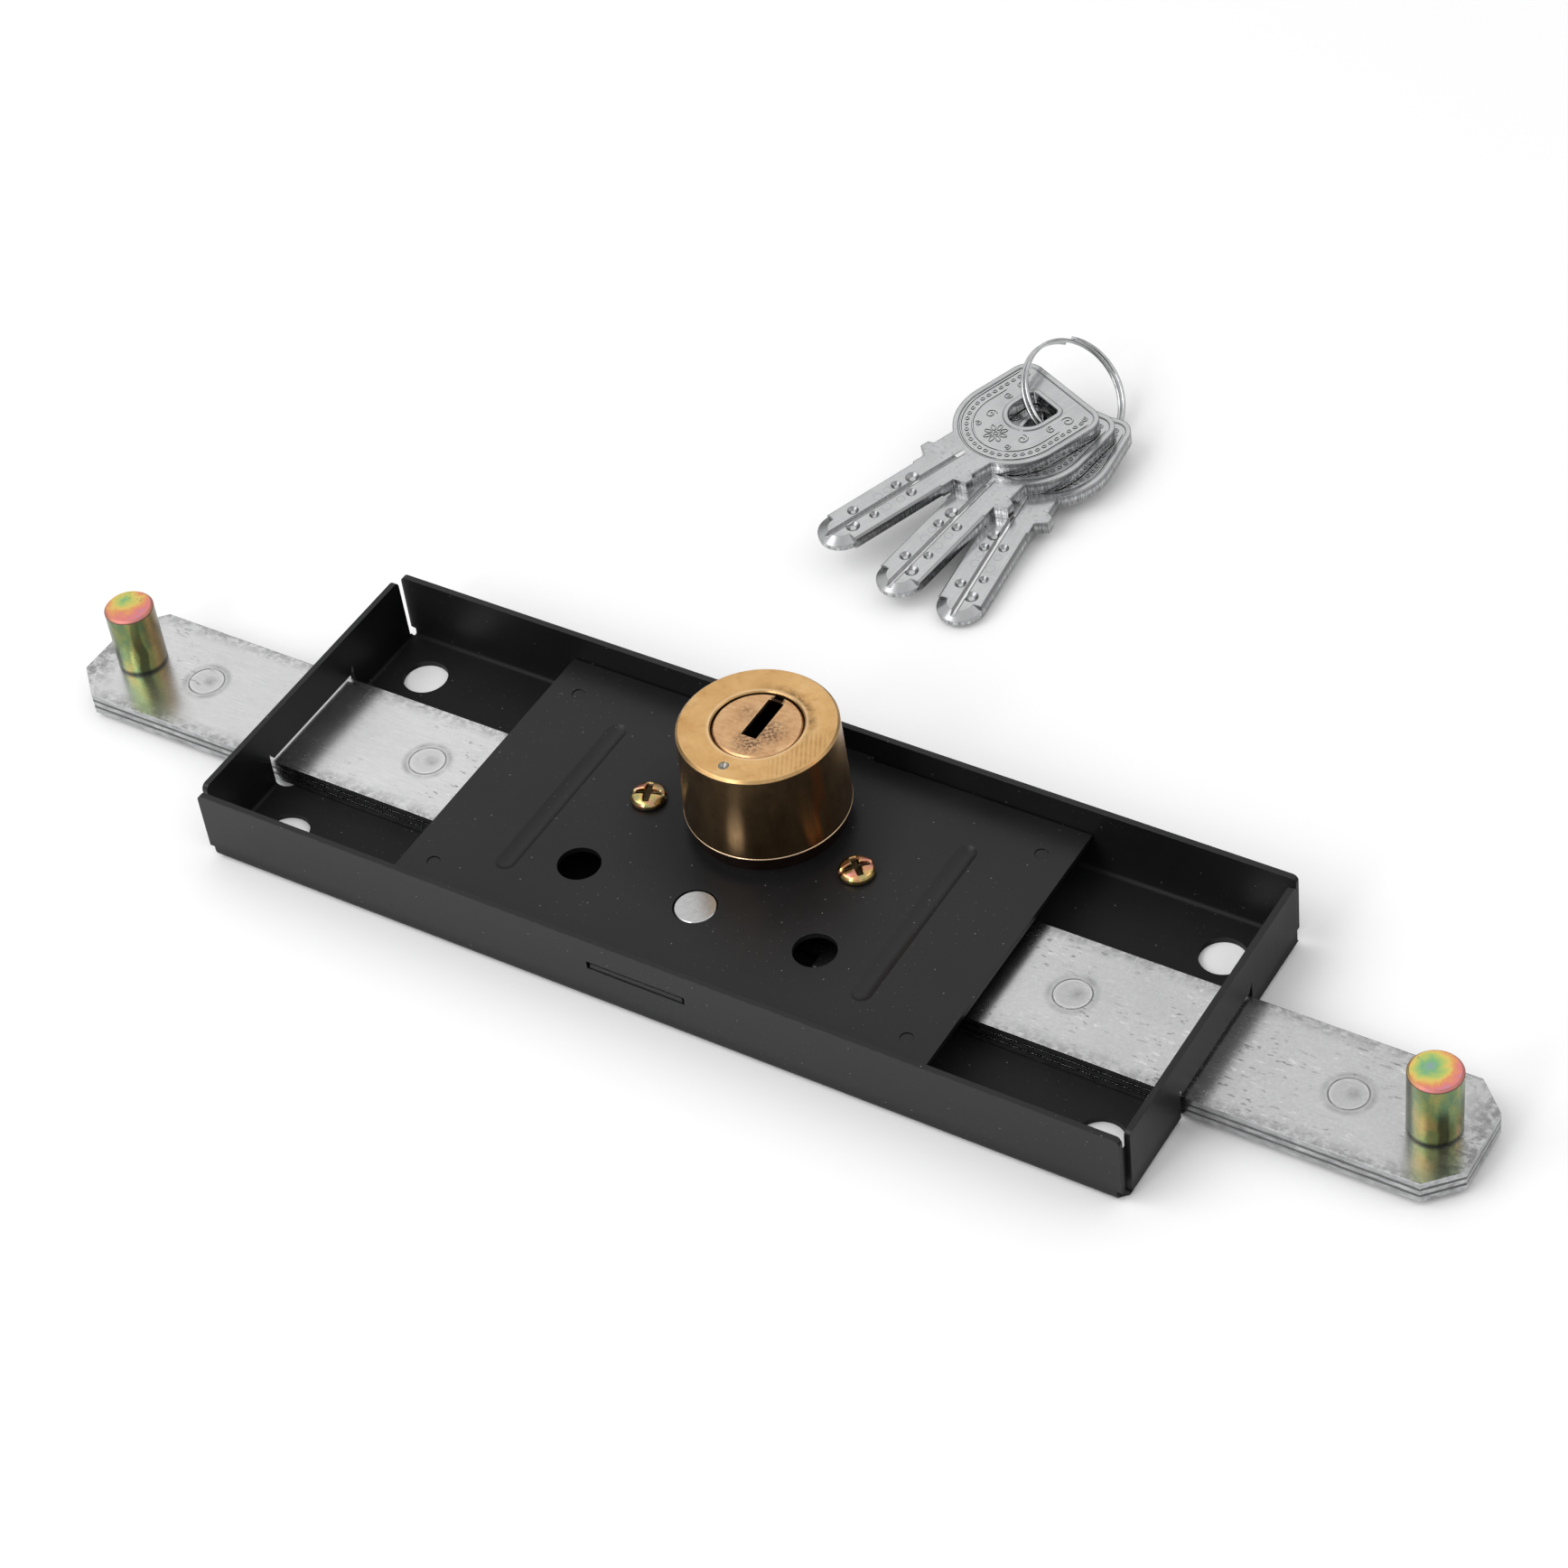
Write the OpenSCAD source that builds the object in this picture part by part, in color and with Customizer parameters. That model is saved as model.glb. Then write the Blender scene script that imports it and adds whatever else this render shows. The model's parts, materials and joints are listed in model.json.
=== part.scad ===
// Roller shutter lock: a pressed steel case with a key cylinder that throws two
// laminated bolts out of its ends, with its three keys lying beside it on a split ring.
// Millimetres. Origin at the centre of the case's outer back face, +X along the bolts,
// +Z up along the cylinder. The model stands with both bolts thrown, as when locked.

/* [Case] */
// Length of the case, along the bolts
case_len = 200; // [180:1:240]
// Width of the case, across the bolts
case_w = 70; // [68:1:84]
// Height of the case walls
case_h = 16.5; // [14:0.5:22]
// Thickness of the steel sheet of the case and the cover
sheet = 1.2; // [1:0.1:1.5]
// Outer radius of the folds along the back
fold_r = 2; // [1.8:0.1:2.6]
// Diameter of the four fixing holes in the back
fix_hole_d = 9.2; // [5:0.1:10]
// Distance from the case end to a fixing hole's centre
fix_inset_x = 10.8; // [8:0.1:16]
// Distance from the case side to a fixing hole's centre
fix_inset_y = 11; // [9:0.5:13]

/* [Bolts] */
// Width of a bolt
bolt_w = 26.4; // [20:0.1:28]
// Thickness of each of the three strips in a bolt
strip_t = 1.6; // [1.2:0.1:2]
// How far a thrown bolt stands out of the case
bolt_out = 51; // [44:1:70]
// Cut-off at the corners of a bolt's tip
bolt_corner = 6; // [2:0.5:8]
// Diameter of the locking pin at a bolt's tip
pin_d = 10; // [8:0.5:12]
// Height of a locking pin above its bolt
pin_h = 14.3; // [8:0.1:24]
// Distance from the bolt's tip to the locking pin's axis
pin_inset = 9.2; // [8:0.1:12]
// Diameter of the flush rivets in a bolt
rivet_d = 7.3; // [4:0.1:8]
// Distance from the bolt's tip to its outer rivet
rivet_inset = 25.4; // [22:0.1:30]
// Distance between the two rivets of a bolt
rivet_pitch = 54.4; // [40:0.1:60]

/* [Cover] */
// Length of the cover plate over the mechanism
cover_len = 115.6; // [112:0.1:122]
// Distance from the cover's end to its spacer posts
spacer_inset_x = 6.3; // [5:0.1:7]
// Distance from the cover's long edge to its spacer posts
spacer_inset_y = 8.2; // [6:0.1:10]
// Diameter of the spacer posts
spacer_d = 5; // [4:0.1:6]
// Diameter of the two plain holes in the cover
cover_hole_d = 8.5; // [5:0.1:10]
// Distance between the two plain holes
cover_hole_pitch = 51.6; // [44:0.1:60]
// Distance from the case's middle to the row of holes
hole_row_y = 14; // [12:0.5:16]
// Diameter of the guide post in the middle of that row
post_d = 8.4; // [6:0.1:9]
// Distance between the two pressed ribs
rib_pitch = 77.6; // [72:0.1:86]
// Length of a pressed rib
rib_len = 43; // [30:1:48]
// Width of a pressed rib
rib_w = 4.2; // [2:0.1:5]
// Width of the tab that hooks the cover into each long wall
tab_w = 20; // [10:1:30]

/* [Cylinder] */
// Distance from the case's middle to the cylinder's axis
cyl_y = 13; // [12:0.5:14]
// Diameter of the cylinder cap at its lower rim
cap_d = 32; // [31:0.1:34]
// Diameter of the cylinder cap at its top
cap_top_d = 30.8; // [29:0.1:31]
// Height of the cylinder above the cover
cyl_h = 23.1; // [20:0.1:30]
// Height of the neck under the cap's rim
neck_h = 3.3; // [2:0.1:5]
// Diameter of the neck under the cap's rim
neck_d = 30.4; // [29:0.1:31]
// Diameter of the turning plug
plug_d = 17.1; // [16:0.1:18]
// Length of the keyway across the plug
keyway_l = 10.2; // [9:0.1:10.4]
// Width of the keyway
keyway_w = 3.3; // [2.6:0.1:3.6]
// Offset of the keyway from the plug's axis
keyway_off = 1.8; // [1:0.1:2]
// Diameter of the lock pins
lock_pin_d = 2.6; // [2:0.1:2.8]
// Number of pin stacks
lock_pins = 5; // [3:1:5]
// Distance between two pin stacks
lock_pin_pitch = 3.4; // [3.2:0.1:3.6]
// Distance between the two cylinder screws
screw_pitch = 46; // [45:0.5:50]
// Distance from the cylinder's axis down to the screws
screw_drop = 6.7; // [5:0.1:8]
// Diameter of the screw heads
screw_head_d = 7.1; // [6:0.1:8]

/* [Crank] */
// Radius of the circle that the two crank studs turn on
crank_r = 13; // [12:0.1:13.4]
// Diameter of a crank stud
stud_d = 6; // [5:0.1:6.5]
// Play of a stud in its slot, to each side
stud_play = 0.55; // [0.5:0.05:0.8]

/* [Keys] */
// Length of a key
key_len = 63.7; // [58:0.1:70]
// Length of a key's blade up to its shoulder
blade_len = 31; // [26:0.5:32]
// Width of a key's bow
bow_w = 26; // [24:0.5:28]
// Width of the hole in a key's bow
bow_hole_w = 8.6; // [8:0.1:10]
// Metal between the bow's hole and the bow's end
bow_bridge = 5.6; // [4:0.1:7]
// Outer diameter of the split ring
ring_d = 25; // [24:0.5:28]
// Diameter of the split ring's wire
ring_wire_d = 0.9; // [0.8:0.05:1]
// Angles of the three keys in the fan, clockwise from +Y, top key first
key_fan = [24, 8.5, -3.5];
// Place of the middle key's tip on the floor
keys_at = [-6.5, 81];

/* [Hidden] */
$fn = 64;
eps = 0.1;

// Clearances
run_gap = 0.2;        // between faces that slide past each other
side_gap = 0.8;       // from the left drive strip to the long wall
guide_gap = 0.3;      // from a drive strip's edge to what guides it
post_gap = 3;         // from the left drive strip's arm to a spacer post
cover_fit = 0.3;      // from the cover to the long walls
fit = 0.02;           // between a riveted or staked piece and its hole
turn_fit = 0.06;      // between the plug and its bore
pin_fit = 0.07;       // between a lock pin and its chamber
cap_gap = 0.3;        // round the plug's face in the cap
post_top_gap = 0.1;   // round the guide post in the cover
screw_gap = 0.2;      // round a cylinder screw in the cover
key_fit = 0.15;       // between a key's blade and the keyway, to each side
stack_gap = 0.05;     // between the keys that lie on each other

// Heights of the layers, from the back of the case up
yoke_t = 1.1;
crank_t = 1.6;
bolt_z = sheet + run_gap;
bolt_t = 3 * strip_t;
bolt_top = bolt_z + bolt_t;
crank_z = bolt_top + run_gap;
yoke_z = crank_z + crank_t + run_gap / 2;
cover_z = yoke_z + yoke_t;
cover_top = cover_z + sheet;
cap_z = cover_top + neck_h;
cyl_top = cover_top + cyl_h;

// Places along the bolts
crank_turn = 90;
stud_x = crank_r * sin(crank_turn / 2);
stud_dy = crank_r * cos(crank_turn / 2);
travel = 2 * stud_x;
tip_x = case_len / 2 + bolt_out;
slot_w = stud_d + 2 * stud_play;
stud_rivet_d = stud_d - 1.6;
slot_edge = 3.2;
arm_in = stud_x - slot_w / 2 - slot_edge;
post_clear = 1.4;
right_full_x = post_d / 2 + travel + post_clear;
arm_clear = 1.1;
left_full_x = 2 * travel - arm_in + arm_clear;
strip_back = 4.6;
strip_in = left_full_x + strip_back;
arm_low = -hole_row_y + post_d / 2 + guide_gap;
arm_high = case_w / 2 - sheet - side_gap;
wall_slot_w = bolt_w + 2;
wall_slot_top = bolt_top + 1;
wall_slot_in = 5;

// Places in the cover
cover_w = case_w - 2 * sheet - 2 * cover_fit;
spacer_x = cover_len / 2 - spacer_inset_x;
spacer_y = cover_w / 2 - spacer_inset_y;
arm_root = spacer_x - spacer_d / 2 - post_gap - left_full_x;
screw_y = cyl_y - screw_drop;
screw_d = 4;
rib_deep = 0.7;
rib_r = (pow(rib_w / 2, 2) + pow(rib_deep, 2)) / (2 * rib_deep);

// Feet and staked ends of the posts
spacer_foot_r = 2;
spacer_top_r = 1.3;
post_foot_r = 3;

// Inside the cylinder
core_r = 13.2;
spigot_r = 12;
plug_r = plug_d / 2;
plug_seat = cover_top + 1.8;
tail_r = 5.9;
tang_w = 7;
clip_z = yoke_z + 0.2;
clip_t = 0.8;
clip_r = 8.1;
clip_bite = 0.9;
clip_room = 0.5;
cap_wall = 2.2;
core_top = cyl_top - cap_wall - 0.05;
lock_pin_z = core_top - 3.4;
drill_pin_r = 1;
drill_pin_at = 12;

// Keys and ring, in the tilted frame that the stacked keys lie in
blade_w = keyway_l - 2 * key_fit;
key_t = keyway_w - 2 * key_fit;
bow_hole_s = key_len - bow_bridge - bow_hole_w * 0.56;
hang_s = key_len - bow_bridge - 3.5;
level = key_t + stack_gap;
ring_r = (ring_d - ring_wire_d) / 2;
ring_lean = 45;
ring_pitch = ring_wire_d + 0.45;
ring_low = 1.5 * level - ring_r * sin(ring_lean) - ring_pitch / 2 * cos(ring_lean) - ring_wire_d / 2;
keys_tilt = atan(-ring_low / (hang_s + ring_r)) + 0.05;
hang_turn = asin(level / (ring_r * sin(ring_lean)));
function hang_at(i) = [(i - 1) * level / tan(ring_lean),
    hang_s + ring_r * (1 - cos((i - 1) * hang_turn)), (2 - i) * level];

echo(travel=travel, tip_x=tip_x, bolt_top=bolt_top, cover_z=cover_z, cyl_top=cyl_top);
echo(keys_tilt=keys_tilt, hang=[for (i = [0:2]) hang_at(i)]);

// Points of a ring of a tube, square to the route at point i
function unit(v) = v / norm(v);
function ring_points(route, i, r, sides) =
    let(n = len(route), a = route[max(i - 1, 0)], b = route[min(i + 1, n - 1)],
        t = unit(b - a), u = unit(cross(t, abs(t[0]) < 0.9 ? [1, 0, 0] : [0, 1, 0])), v = cross(t, u))
    [for (k = [0:sides - 1]) route[i] + r * (cos(360 * k / sides) * u + sin(360 * k / sides) * v)];

// One closed tube of triangles along a route
module tube(route, r, sides) {
    n = len(route);
    points = [for (i = [0:n - 1]) each ring_points(route, i, r, sides)];
    last = (n - 1) * sides;
    walls = [for (i = [0:n - 2], k = [0:sides - 1])
        let(a = i * sides + k, b = i * sides + (k + 1) % sides)
        each [[a, a + sides, b], [b, a + sides, b + sides]]];
    ends = [for (k = [1:sides - 2]) each [[0, k, k + 1], [last, last + k + 1, last + k]]];
    polyhedron(points, concat(walls, ends));
}

// Least distance between the centre lines of neighbouring turns, less the wire
function coil_gap(route, per_turn, wire) =
    min([for (i = [0:len(route) - per_turn - 1]) norm(route[i + per_turn] - route[i])]) - wire;

module along_x(l) rotate([90, 0, 90]) translate([0, 0, -l / 2]) linear_extrude(l) children();
module along_y(l) rotate([90, 0, 0]) translate([0, 0, -l / 2]) linear_extrude(l) children();
module both_ends() for (m = [0, 1]) mirror([m, 0, 0]) children();
module both_sides() for (m = [0, 1]) mirror([0, m, 0]) children();
module four_corners() both_ends() both_sides() children();
module on_axis(z) translate([0, cyl_y, z]) children();

// Outline with its two lower corners rounded
module fold_outline(w, h, r) {
    translate([-w / 2, r]) square([w, h - r]);
    translate([r - w / 2, 0]) square([w - 2 * r, 2 * r]);
    for (s = [-1, 1]) translate([s * (w / 2 - r), r]) circle(r);
}

module folded_pan(l, w, h, r) {
    intersection() {
        along_x(l) fold_outline(w, h, r);
        along_y(w) fold_outline(l, h, r);
    }
}

// Rectangle from x0 to x1, w wide, with the corners at x0 rounded
module slot_outline(x0, x1, w, r) {
    translate([x0 + r, -w / 2]) square([x1 - x0 - r, w]);
    translate([x0, r - w / 2]) square([2 * r, w - 2 * r]);
    for (s = [-1, 1]) translate([x0 + r, s * (w / 2 - r)]) circle(r);
}

// Shape that rounds off a corner whose material lies towards -x and -y
module round_off(r) {
    translate([-r, -r]) difference() {
        square(r + eps);
        circle(r);
    }
}

// Open corner between an end wall and a long wall, with the round relief of the blank
module open_corner() {
    gap_low = 1.15;
    gap_high = 1.4;
    gap_end = 0.75;
    gap_z = sheet + 0.4;
    edge_r = 1.2;
    relief_r = 1.3;
    relief_in = 0.7;
    relief_h = 3;
    inner = case_w / 2 - sheet;
    translate([case_len / 2 - sheet / 2 + 0.5, 0, 0]) along_x(sheet + 1) {
        polygon([[inner - gap_low, gap_z], [inner + eps, gap_z], [inner + eps, case_h + eps],
            [inner - gap_high, case_h + eps]]);
        translate([inner - gap_high, case_h]) round_off(edge_r);
    }
    translate([case_len / 2 - gap_end, inner - eps, gap_z]) cube([gap_end + 1, sheet + 1, case_h]);
    translate([0, case_w / 2 - sheet / 2, 0]) along_y(sheet + eps)
        translate([case_len / 2 - gap_end, case_h]) round_off(edge_r);
    translate([case_len / 2 - relief_in, case_w / 2 - relief_in, -eps])
        cylinder(h = relief_h + eps, r = relief_r);
}

// Opening for a bolt: it runs down the end wall, over the fold and into the back
module bolt_opening() {
    nick_h = 1.9;
    nick_w = 1.2;
    nick_flat = 0.1;
    slot_r = 2.5;
    side = wall_slot_w / 2;
    translate([0, 0, -eps]) linear_extrude(wall_slot_top + eps)
        slot_outline(case_len / 2 - wall_slot_in, case_len / 2 + 1, wall_slot_w, slot_r);
    both_sides() translate([case_len / 2, 0, 0]) along_x(3 * sheet)
        polygon([[side - nick_w, wall_slot_top - eps], [side, wall_slot_top - eps],
            [side - nick_flat, wall_slot_top + nick_h]]);
}

// Slots in the long walls for the cover's tabs
module tab_slots() {
    tab_play = 0.6;
    both_sides() translate([0, case_w / 2, 0]) along_y(3 * sheet)
        translate([-tab_w / 2 - tab_play, cover_z - eps])
            square([tab_w + 2 * tab_play, sheet + tab_play + eps]);
}

module case() color([0.07, 0.07, 0.08]) {
    difference() {
        folded_pan(case_len, case_w, case_h, fold_r);
        translate([0, 0, sheet])
            folded_pan(case_len - 2 * sheet, case_w - 2 * sheet, case_h, fold_r - sheet);
        four_corners() open_corner();
        both_ends() bolt_opening();
        four_corners() translate([case_len / 2 - fix_inset_x, case_w / 2 - fix_inset_y, -eps])
            cylinder(h = sheet + 2 * eps, d = fix_hole_d);
        tab_slots();
        four_corners() translate([spacer_x, spacer_y, -eps])
            cylinder(h = sheet + 2 * eps, r = spacer_foot_r + fit);
        translate([0, -hole_row_y, -eps]) cylinder(h = sheet + 2 * eps, r = post_foot_r + fit);
    }
}

// Rod with ball ends along each pressed rib: the rib is round in section and at its ends
module rib_rod(r) {
    translate([rib_pitch / 2, 0, cover_top - rib_deep + rib_r]) {
        rotate([90, 0, 0]) cylinder(h = rib_len - rib_w, r = r, center = true);
        for (s = [-1, 1]) translate([0, s * (rib_len - rib_w) / 2, 0]) sphere(r);
    }
}

// Plate over the mechanism, hooked into the long walls by a tab at each side
module cover_plate() color([0.07, 0.07, 0.08]) {
    tab_short = 0.2;
    tab_reach = cover_fit + sheet - tab_short;
    hole_h = sheet + 2 * eps;
    difference() {
        union() {
            translate([-cover_len / 2, -cover_w / 2, cover_z]) cube([cover_len, cover_w, sheet]);
            translate([-tab_w / 2, -cover_w / 2 - tab_reach, cover_z])
                cube([tab_w, cover_w + 2 * tab_reach, sheet]);
            both_ends() intersection() {
                rib_rod(rib_r + sheet);
                translate([0, -rib_len / 2 - rib_w, cover_z - 2 * rib_deep])
                    cube([rib_pitch, rib_len + 2 * rib_w, 2 * rib_deep + eps]);
            }
        }
        both_ends() rib_rod(rib_r);
        on_axis(cover_z - eps) cylinder(h = hole_h, r = spigot_r + fit);
        translate([0, -hole_row_y, cover_z - eps]) {
            for (s = [-1, 1]) translate([s * cover_hole_pitch / 2, 0, 0])
                cylinder(h = hole_h, d = cover_hole_d);
            cylinder(h = hole_h, d = post_d + 2 * post_top_gap);
        }
        for (s = [-1, 1]) translate([s * screw_pitch / 2, screw_y, cover_z - eps])
            cylinder(h = hole_h, d = screw_d + 2 * screw_gap);
        four_corners() translate([spacer_x, spacer_y, cover_z - eps])
            cylinder(h = hole_h, r = spacer_top_r + fit);
    }
}

// Four posts riveted into the back, whose staked ends hold the cover
module spacer_posts() color([0.1, 0.1, 0.11]) {
    dip = 0.2;
    four_corners() translate([spacer_x, spacer_y, 0]) {
        cylinder(h = sheet + eps, r = spacer_foot_r);
        translate([0, 0, sheet]) cylinder(h = cover_z - sheet, d = spacer_d);
        translate([0, 0, cover_z - eps]) cylinder(h = sheet + eps - dip, r = spacer_top_r);
    }
}

module guide_post() color([0.72, 0.73, 0.74]) {
    chamfer = 0.3;
    top = cover_top - 0.1;
    translate([0, -hole_row_y, 0]) {
        cylinder(h = sheet + eps, r = post_foot_r);
        translate([0, 0, sheet]) cylinder(h = top - chamfer - sheet, d = post_d);
        translate([0, 0, top - chamfer]) cylinder(h = chamfer, d1 = post_d, d2 = post_d - 2 * chamfer);
    }
}

// Plate under the cover that clamps the cylinder, with a tapped boss at each screw
module cylinder_yoke() color([0.62, 0.63, 0.64]) {
    boss_r = 4.2;
    boss_h = yoke_z - bolt_top - run_gap;
    flange = 3.4;
    difference() {
        union() {
            on_axis(yoke_z) cylinder(h = yoke_t, r = spigot_r + flange);
            translate([-screw_pitch / 2, screw_y - boss_r, yoke_z])
                cube([screw_pitch, 2 * boss_r, yoke_t]);
            for (s = [-1, 1]) translate([s * screw_pitch / 2, screw_y, yoke_z - boss_h])
                cylinder(h = boss_h + yoke_t, r = boss_r);
        }
        on_axis(yoke_z - eps) cylinder(h = yoke_t + 2 * eps, r = spigot_r + fit);
        for (s = [-1, 1]) translate([s * screw_pitch / 2, screw_y, bolt_top])
            cylinder(h = cover_z - bolt_top + eps, d = screw_d + 2 * fit);
    }
}

// Pan head with a cross recess, on a plain shank
module pan_screw() {
    head_h = 2.4;
    dome_r = 5.2;
    recess_l = 4.4;
    recess_w = 0.95;
    recess_deep = 1.3;
    shank = cover_top - bolt_top - 2 * run_gap;
    difference() {
        union() {
            intersection() {
                cylinder(h = head_h, d = screw_head_d);
                translate([0, 0, head_h - dome_r]) sphere(dome_r);
            }
            translate([0, 0, -shank]) cylinder(h = shank + run_gap, d = screw_d);
        }
        for (a = [0, 90]) rotate(a) translate([-recess_l / 2, -recess_w / 2, head_h - recess_deep])
            cube([recess_l, recess_w, head_h]);
    }
}

module cylinder_screws() color([0.78, 0.66, 0.36]) {
    recess_turn = [20, 48];
    for (i = [0, 1]) translate([(2 * i - 1) * screw_pitch / 2, screw_y, cover_top])
        rotate(recess_turn[i]) pan_screw();
}

// Place of each pin chamber: along +X from the plug's axis
module at_lock_pins() {
    for (i = [0:lock_pins - 1]) translate([0, cyl_y, lock_pin_z - i * lock_pin_pitch])
        rotate([0, 90, 0]) children();
}

// Barrel that the plug turns in, with its neck on the cover and its spigot through cover and yoke
module cylinder_core() color([0.72, 0.53, 0.26]) {
    difference() {
        union() {
            on_axis(cover_top) cylinder(h = core_top - cover_top, r = core_r);
            on_axis(cover_top) cylinder(h = neck_h, d = neck_d);
            on_axis(yoke_z) cylinder(h = cover_top - yoke_z + eps, r = spigot_r);
        }
        on_axis(plug_seat - turn_fit) cylinder(h = cyl_top, r = plug_r + turn_fit);
        on_axis(0) cylinder(h = cyl_top, r = tail_r + turn_fit);
        on_axis(yoke_z - eps) cylinder(h = yoke_t + eps, r = clip_r + clip_room);
        at_lock_pins() cylinder(h = cap_d, r = lock_pin_d / 2 + pin_fit);
        on_axis(0) translate([0, -drill_pin_at, core_top - 4]) cylinder(h = 5, r = drill_pin_r + fit);
    }
}

// Outer cap: a slightly tapered sleeve, closed at the top round the plug
module cylinder_cap() color([0.80, 0.60, 0.30]) {
    rim = 0.5;
    foot_rim = 0.3;
    mouth_rim = 0.25;
    r0 = cap_d / 2;
    r1 = cap_top_d / 2;
    r2 = plug_r + cap_gap;
    r3 = core_r + fit;
    difference() {
        on_axis(0) rotate_extrude(convexity = 6, $fn = 96) polygon([
            [r3, cap_z], [r0 - foot_rim, cap_z], [r0, cap_z + foot_rim], [r1, cyl_top - rim],
            [r1 - rim, cyl_top], [r2 + mouth_rim, cyl_top], [r2, cyl_top - mouth_rim],
            [r2, cyl_top - cap_wall], [r3, cyl_top - cap_wall]]);
        on_axis(0) translate([0, -drill_pin_at, cyl_top - cap_wall - 1])
            cylinder(h = cap_wall + 2, r = drill_pin_r + fit);
    }
}

module anti_drill_pin() color([0.75, 0.75, 0.76]) {
    h = cap_wall + 3;
    on_axis(cyl_top - 0.05 - h) translate([0, -drill_pin_at, 0]) difference() {
        cylinder(h = h, r = drill_pin_r);
        translate([0, 0, h - 0.6]) cylinder(h = 0.61, r1 = 0.05, r2 = 0.8);
    }
}

driver_in = plug_r + 0.2;
driver_len = 2.1;

module driver_pins() color([0.74, 0.60, 0.34]) {
    at_lock_pins() translate([0, 0, driver_in]) cylinder(h = driver_len, d = lock_pin_d);
}

// Three-curl compression springs between the driver pins and the cap
module pin_springs() color([0.7, 0.7, 0.72]) {
    curls = 3;
    per_curl = 8;
    wire = 0.24;
    from = driver_in + driver_len + wire / 2 + 0.02;
    to = core_r - wire / 2 - 0.05;
    route = [for (i = [0:curls * per_curl]) let(a = 360 * i / per_curl)
        [0.9 * cos(a), 0.9 * sin(a), from + (to - from) * i / (curls * per_curl)]];
    echo(spring_gap=coil_gap(route, per_curl, wire));
    at_lock_pins() tube(route, wire / 2, 6);
}

// Plug with its keyway, pin chambers, clip groove and square tang
module plug() color([0.80, 0.58, 0.36]) {
    face = cyl_top - 0.2;
    chamfer = 0.35;
    difference() {
        union() {
            on_axis(plug_seat) cylinder(h = face - chamfer - plug_seat, r = plug_r);
            on_axis(face - chamfer) cylinder(h = chamfer, r1 = plug_r, r2 = plug_r - chamfer);
            on_axis(yoke_z - run_gap / 2) cylinder(h = plug_seat - yoke_z + run_gap, r = tail_r);
            translate([-tang_w / 2, cyl_y - tang_w / 2, crank_z + 0.1])
                cube([tang_w, tang_w, crank_t + run_gap]);
        }
        translate([-keyway_w / 2, cyl_y + keyway_off - keyway_l / 2, plug_seat + 1.6])
            cube([keyway_w, keyway_l, cyl_top]);
        translate([-1, cyl_y + plug_r - 1.1, face - 1.2]) cube([2, 3, 3]);
        at_lock_pins() cylinder(h = cap_d, r = lock_pin_d / 2 + pin_fit);
        on_axis(clip_z - 0.05) difference() {
            cylinder(h = clip_t + 0.1, r = tail_r + 1);
            translate([0, 0, -eps]) cylinder(h = clip_t + 1, r = tail_r - clip_bite);
        }
    }
}

// Key pins at the shear line, their tips just inside the keyway
module key_pins() color([0.74, 0.60, 0.34]) {
    tip = 0.9;
    start = keyway_w / 2 - 0.9;
    end = plug_r - 0.15;
    at_lock_pins() {
        translate([0, 0, start + tip]) cylinder(h = end - start - tip, d = lock_pin_d);
        translate([0, 0, start]) cylinder(h = tip, d1 = lock_pin_d - 2 * tip, d2 = lock_pin_d);
    }
}

module retaining_clip() color([0.55, 0.56, 0.58]) {
    mouth = 6;
    on_axis(clip_z) linear_extrude(clip_t) difference() {
        circle(r = clip_r);
        circle(r = tail_r - clip_bite + fit);
        translate([-mouth / 2, 0]) square([mouth, clip_r + 1]);
    }
}

// Outline of the crank: a hub with two arms, turned to the thrown position
module crank_outline() {
    boss = stud_d / 2 + 1.5;
    rotate(-90 + crank_turn / 2) {
        circle(r = 8.5);
        translate([-crank_r, -boss]) square([2 * crank_r, 2 * boss]);
        for (s = [-1, 1]) translate([s * crank_r, 0]) circle(boss);
    }
}

// Place of the two studs on the crank, turned with it
module at_studs() {
    rotate(-90 + crank_turn / 2) for (s = [-1, 1]) translate([s * crank_r, 0, 0]) children();
}

module crank() color([0.62, 0.63, 0.64]) {
    on_axis(crank_z) linear_extrude(crank_t) difference() {
        crank_outline();
        square(tang_w + 2 * fit, center = true);
        at_studs() circle(d = stud_rivet_d + 2 * fit);
    }
}

// Studs that reach down through the slots of the drive strips
module crank_studs() color([0.55, 0.56, 0.58]) {
    foot = 0.4;
    foot_z = bolt_z + strip_t - foot;
    on_axis(foot_z) at_studs() {
        cylinder(h = crank_z - foot_z, d = stud_d);
        cylinder(h = crank_z - foot_z + crank_t, d = stud_rivet_d);
    }
}

// Plan of a bolt from x0 out to its tip
module bolt_outline(x0) {
    h = bolt_w / 2;
    c = bolt_corner;
    polygon([[x0, -h], [tip_x - c, -h], [tip_x, c - h], [tip_x, h - c], [tip_x - c, h], [x0, h]]);
}

pin_foot_d = 8;

module at_rivets() {
    for (i = [0, 1]) translate([tip_x - rivet_inset - i * rivet_pitch, 0, 0]) children();
}

module bolt_holes() {
    translate([tip_x - pin_inset, 0]) circle(d = pin_foot_d + 2 * fit);
    at_rivets() circle(d = rivet_d + 2 * fit);
}

// Cross slot for a crank stud: y is the stud's place at each end of its swing
module stud_slot(y_end, y_mid) {
    lo = min(y_end, y_mid);
    hi = max(y_end, y_mid);
    translate([-slot_w / 2, lo]) square([slot_w, hi - lo]);
    for (y = [lo, hi]) translate([0, y]) circle(d = slot_w);
}

module plain_strip(layer) {
    translate([0, 0, bolt_z + layer * strip_t]) linear_extrude(strip_t) difference() {
        bolt_outline(strip_in);
        bolt_holes();
    }
}

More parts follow.
